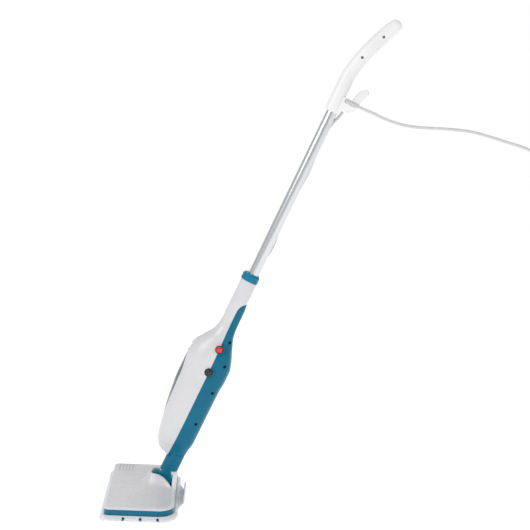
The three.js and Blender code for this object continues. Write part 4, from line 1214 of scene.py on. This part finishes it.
def outside_opening(x, y):
    """The distance from a point to the opening's outline."""
    runs = opening_runs
    offset = np.stack([x, y], axis=-1)[..., None, :] - opening_line
    share = np.clip((offset * runs).sum(-1) / np.maximum((runs * runs).sum(-1), 1e-9), 0, 1)
    return np.linalg.norm(offset - share[..., None] * runs, axis=-1).min(-1)


def rim_height(y):
    """The height of the opening's rim, which falls to the rear."""
    before = RIM["height"] + 0.25 * (RIM["crest"] - y)
    behind = RIM["height"] - RIM["fall"] * (np.maximum(y - RIM["crest"], 0) / RIM["length"]) ** 2
    return np.where(y < RIM["crest"], before, behind)


def cover_top(x, y):
    """The cover's height: a flat with a rolled edge, a low mound, a cowl and a slope at the rear."""
    edge = np.minimum(inside_head(x, y) / COVER_ROLL, 1)
    shoulder = COVER_FLAT - COVER_EDGE - COVER_LIP
    flat = COVER_EDGE + COVER_LIP + shoulder * np.sqrt(np.maximum(1 - (1 - edge) ** 2, 0))
    mound = MOUND["height"] * np.exp(-((x / MOUND["spread"]) ** 2)) * step((y + 38) / 88)
    low = flat + mound * edge
    behind = y - RIM["crest"]
    foot = 38 + 5 * np.clip(behind / 45, 0, 1)
    to_foot = np.maximum(foot - np.hypot(x, np.minimum(behind, 0)), 0)
    lip_width = 4 - 1.5 * step((y - 24) / 18)
    to_rim = np.maximum(outside_opening(x, y) - lip_width, 0)
    share = to_foot / np.maximum(to_foot + to_rim, 1e-9)
    raised = low + np.maximum(rim_height(y) - low, 0) * share**1.7
    return np.minimum(raised, COVER_EDGE + COVER_LIP + (HEAD["rear"] - y) * REAR_SLOPE)


def rim_towards(outline):
    """Where the ray from the opening's centre to each point of an outline crosses the rim."""
    centre = np.array([0, OPENING["centre"]])
    runs = opening_runs
    offset = opening_line - centre
    rim = []
    for ray in outline - centre:
        ray = ray / np.linalg.norm(ray)
        facing = ray[0] * runs[:, 1] - ray[1] * runs[:, 0]
        facing = np.where(np.abs(facing) < 1e-9, 1e-9, facing)
        reach = (offset[:, 0] * runs[:, 1] - offset[:, 1] * runs[:, 0]) / facing
        share = (offset[:, 0] * ray[1] - offset[:, 1] * ray[0]) / facing
        hit = (reach > 0) & (share >= -1e-6) & (share <= 1 + 1e-6)
        rim.append(centre + ray * reach[hit].max())
    return np.array(rim)


def make_cover():
    outline = evenly(head_plan(), 280)
    rim = rim_towards(outline)
    shares = list(np.linspace(0, 0.12, 12)) + list(np.linspace(0.14, 1, 48))

    def layer(share, drop):
        spots = outline + (rim - outline) * share
        heights = cover_top(spots[:, 0], spots[:, 1])
        if drop:
            heights = np.maximum(COVER_EDGE, heights - WALL - (2.5 if share == 1 else 0))
        return np.column_stack([spots, heights])

    rings = [layer(share, False) for share in shares] + [layer(share, True) for share in shares[::-1]]
    cover = skin("head_casing", rings, closed=True)
    for y in GROOVES:
        ends = [(-136, y - 1.5), (-88, y - 1.5), (-88, y + 1.5), (-136, y + 1.5)]
        groove = prism(rounded(ends, 1.4), "z", COVER_FLAT - 1.4, 60)
        cut(cover, groove)
    place(cover, "head", "white_plastic", ["head_cover"], tilted=False, sharp=38)


def make_base():
    profile = [(2.4, BASE_BOTTOM), (1.1, BASE_BOTTOM + 0.5), (0.7, BASE_BOTTOM + 1.6), (0.7, 25.8),
               (1.1, 27.2)]
    base = skin("head_tray", [[(x, y, z) for x, y in head_plan(inset)] for inset, z in profile])
    cut(base, prism(head_plan(4.5), "z", BASE_BOTTOM + 3, 40))
    join(base, block((-7, 8.4, BASE_BOTTOM + 2), (7, 14.4, 50)),
         pole_block((-7, -29.5, SWIVEL_Z - 9), (7, -23.4, SWIVEL_Z + 4.4)),
         block((-7, 59.5, BASE_BOTTOM + 2), (7, 65.5, 36)),
         pole_block((-7, 19.6, SWIVEL_Z - 9), (7, 24.4, SWIVEL_Z + 4.8)))
    drill = rod((0, -45, SWIVEL_Z), (0, 30, SWIVEL_Z), SWIVEL_PIN + GAP)
    drill.data.transform(POLE)
    cut(base, drill, rod((0, 22, 10), (0, 22, 30), 9.3))
    for x, y in ((-118, -70), (118, -70), (-105, 50), (105, 50)):
        cut(base, rod((x, y, 10), (x, y, 20), 4.3))
    place(base, "head", "teal_plastic", ["head_base"], tilted=False)


def make_glider():
    shoulder = [(5.5, 0), (3.4, 0.5), (1.8, 1.6), (0.6, 3), (0, 4.5), (0, 5.8), (0.2, 7), (0.9, 8.4),
                (2, 9.5), (3.2, 10.6), (4.6, 11.7), (5.6, 12.6), (6.6, GLIDER_TOP + 1)]
    tray = skin("glider", [[(x, y, z) for x, y in head_plan(inset, GLIDER)] for inset, z in shoulder])
    cut(tray, prism(head_plan(-1.6, PAD), "z", GLIDER_FLOOR, 30))
    for x0, x1 in ((-200, -7), (7, 200)):
        for y0, y1 in ((-120, -7), (7, 120)):
            light = keep(prism(head_plan(20, GLIDER), "z", -2, 10), block((x0, y0, -5), (x1, y1, 12)))
            cut(tray, light)
    for side in (1, -1):
        for y, tilt in ((-40, -26), (0, 8), (40, 22)):
            slot = soften(block((-12, -3, -4), (12, 3, 4)), 1.2, 4)
            turn = Matrix.Rotation(math.radians(tilt), 4, "X")
            slot.data.transform(Matrix.Translation((side * GLIDER["half"], y, 7)) @ turn)
            cut(tray, slot)
    bow = rounded([(-80, 82), (80, 82), (62, 89), (46, 94.5), (-46, 94.5), (-62, 89)], 9)
    toe = rounded([(92, 3), (96.5, 5), (99.5, 24), (98.5, 28), (95.5, 28), (93.8, 8.4), (92, 8.4)], 1.4)
    join(tray, soften(prism(bow, "z", 3, 8.5), 1.2, 3, 60), soften(prism(toe, "x", -45, 45), 1.0, 3, 60))
    place(tray, "glider", "milky_plastic", ["carpet_glider"], tilted=False)


def make_pad():
    """A microfibre pad: a soft, thick edge, a stitched border and a pile that isn't quite even."""
    low, high = GLIDER_FLOOR + GAP, 12.6
    middle, half = (low + high) / 2, (high - low) / 2
    profile = [(34, low + 0.5), (16, low + 0.3), (10, low + 1.3), (8.5, low + 0.6), (4, low + 0.05)]
    profile += [
        (3 - 3 * math.cos(a), middle + half * math.sin(a)) for a in np.linspace(-1.45, 1.45, 11)
    ]
    profile += [(4, high), (9, high - 0.1), (34, high - 0.3)]
    rings = []
    for inset, z in profile:
        outline = evenly(head_plan(inset, PAD), 360)
        ring = []
        for x, y in outline:
            puff = noise.noise(Vector((x, y, z)) * 0.09) * 0.3 + noise.noise(Vector((x, y, z)) * 0.4) * 0.2
            height = min(max(z + puff * (1 if z > middle else -1), low), high)
            ring.append((x, y, height))
        rings.append(ring)
    pad = skin("floor_pad", rings)
    place(pad, "head", "blue_cloth", ["mop_pad"], tilted=False, sharp=60)


def dress_kept_nodes():
    """Give the CAD nodes the detailed finishes. Nodes that no piece replaces show them."""
    for row in frame["record"]["subparts"]:
        for seat in frame["nodes"][row["node"]].material_slots:
            seat.material = finishes[row["material_slot"]]


make_camera()
make_stage()
make_plug()
make_strap()
make_reliefs()
make_cord()
make_clipped_lead()
make_shells()
make_screws()
make_tank()
make_cap()
make_bezels()
make_button()
make_knob()
make_tube()
make_grip()
make_hook()
make_neck()
make_yoke()
make_cover()
make_base()
make_glider()
make_pad()
dress_kept_nodes()
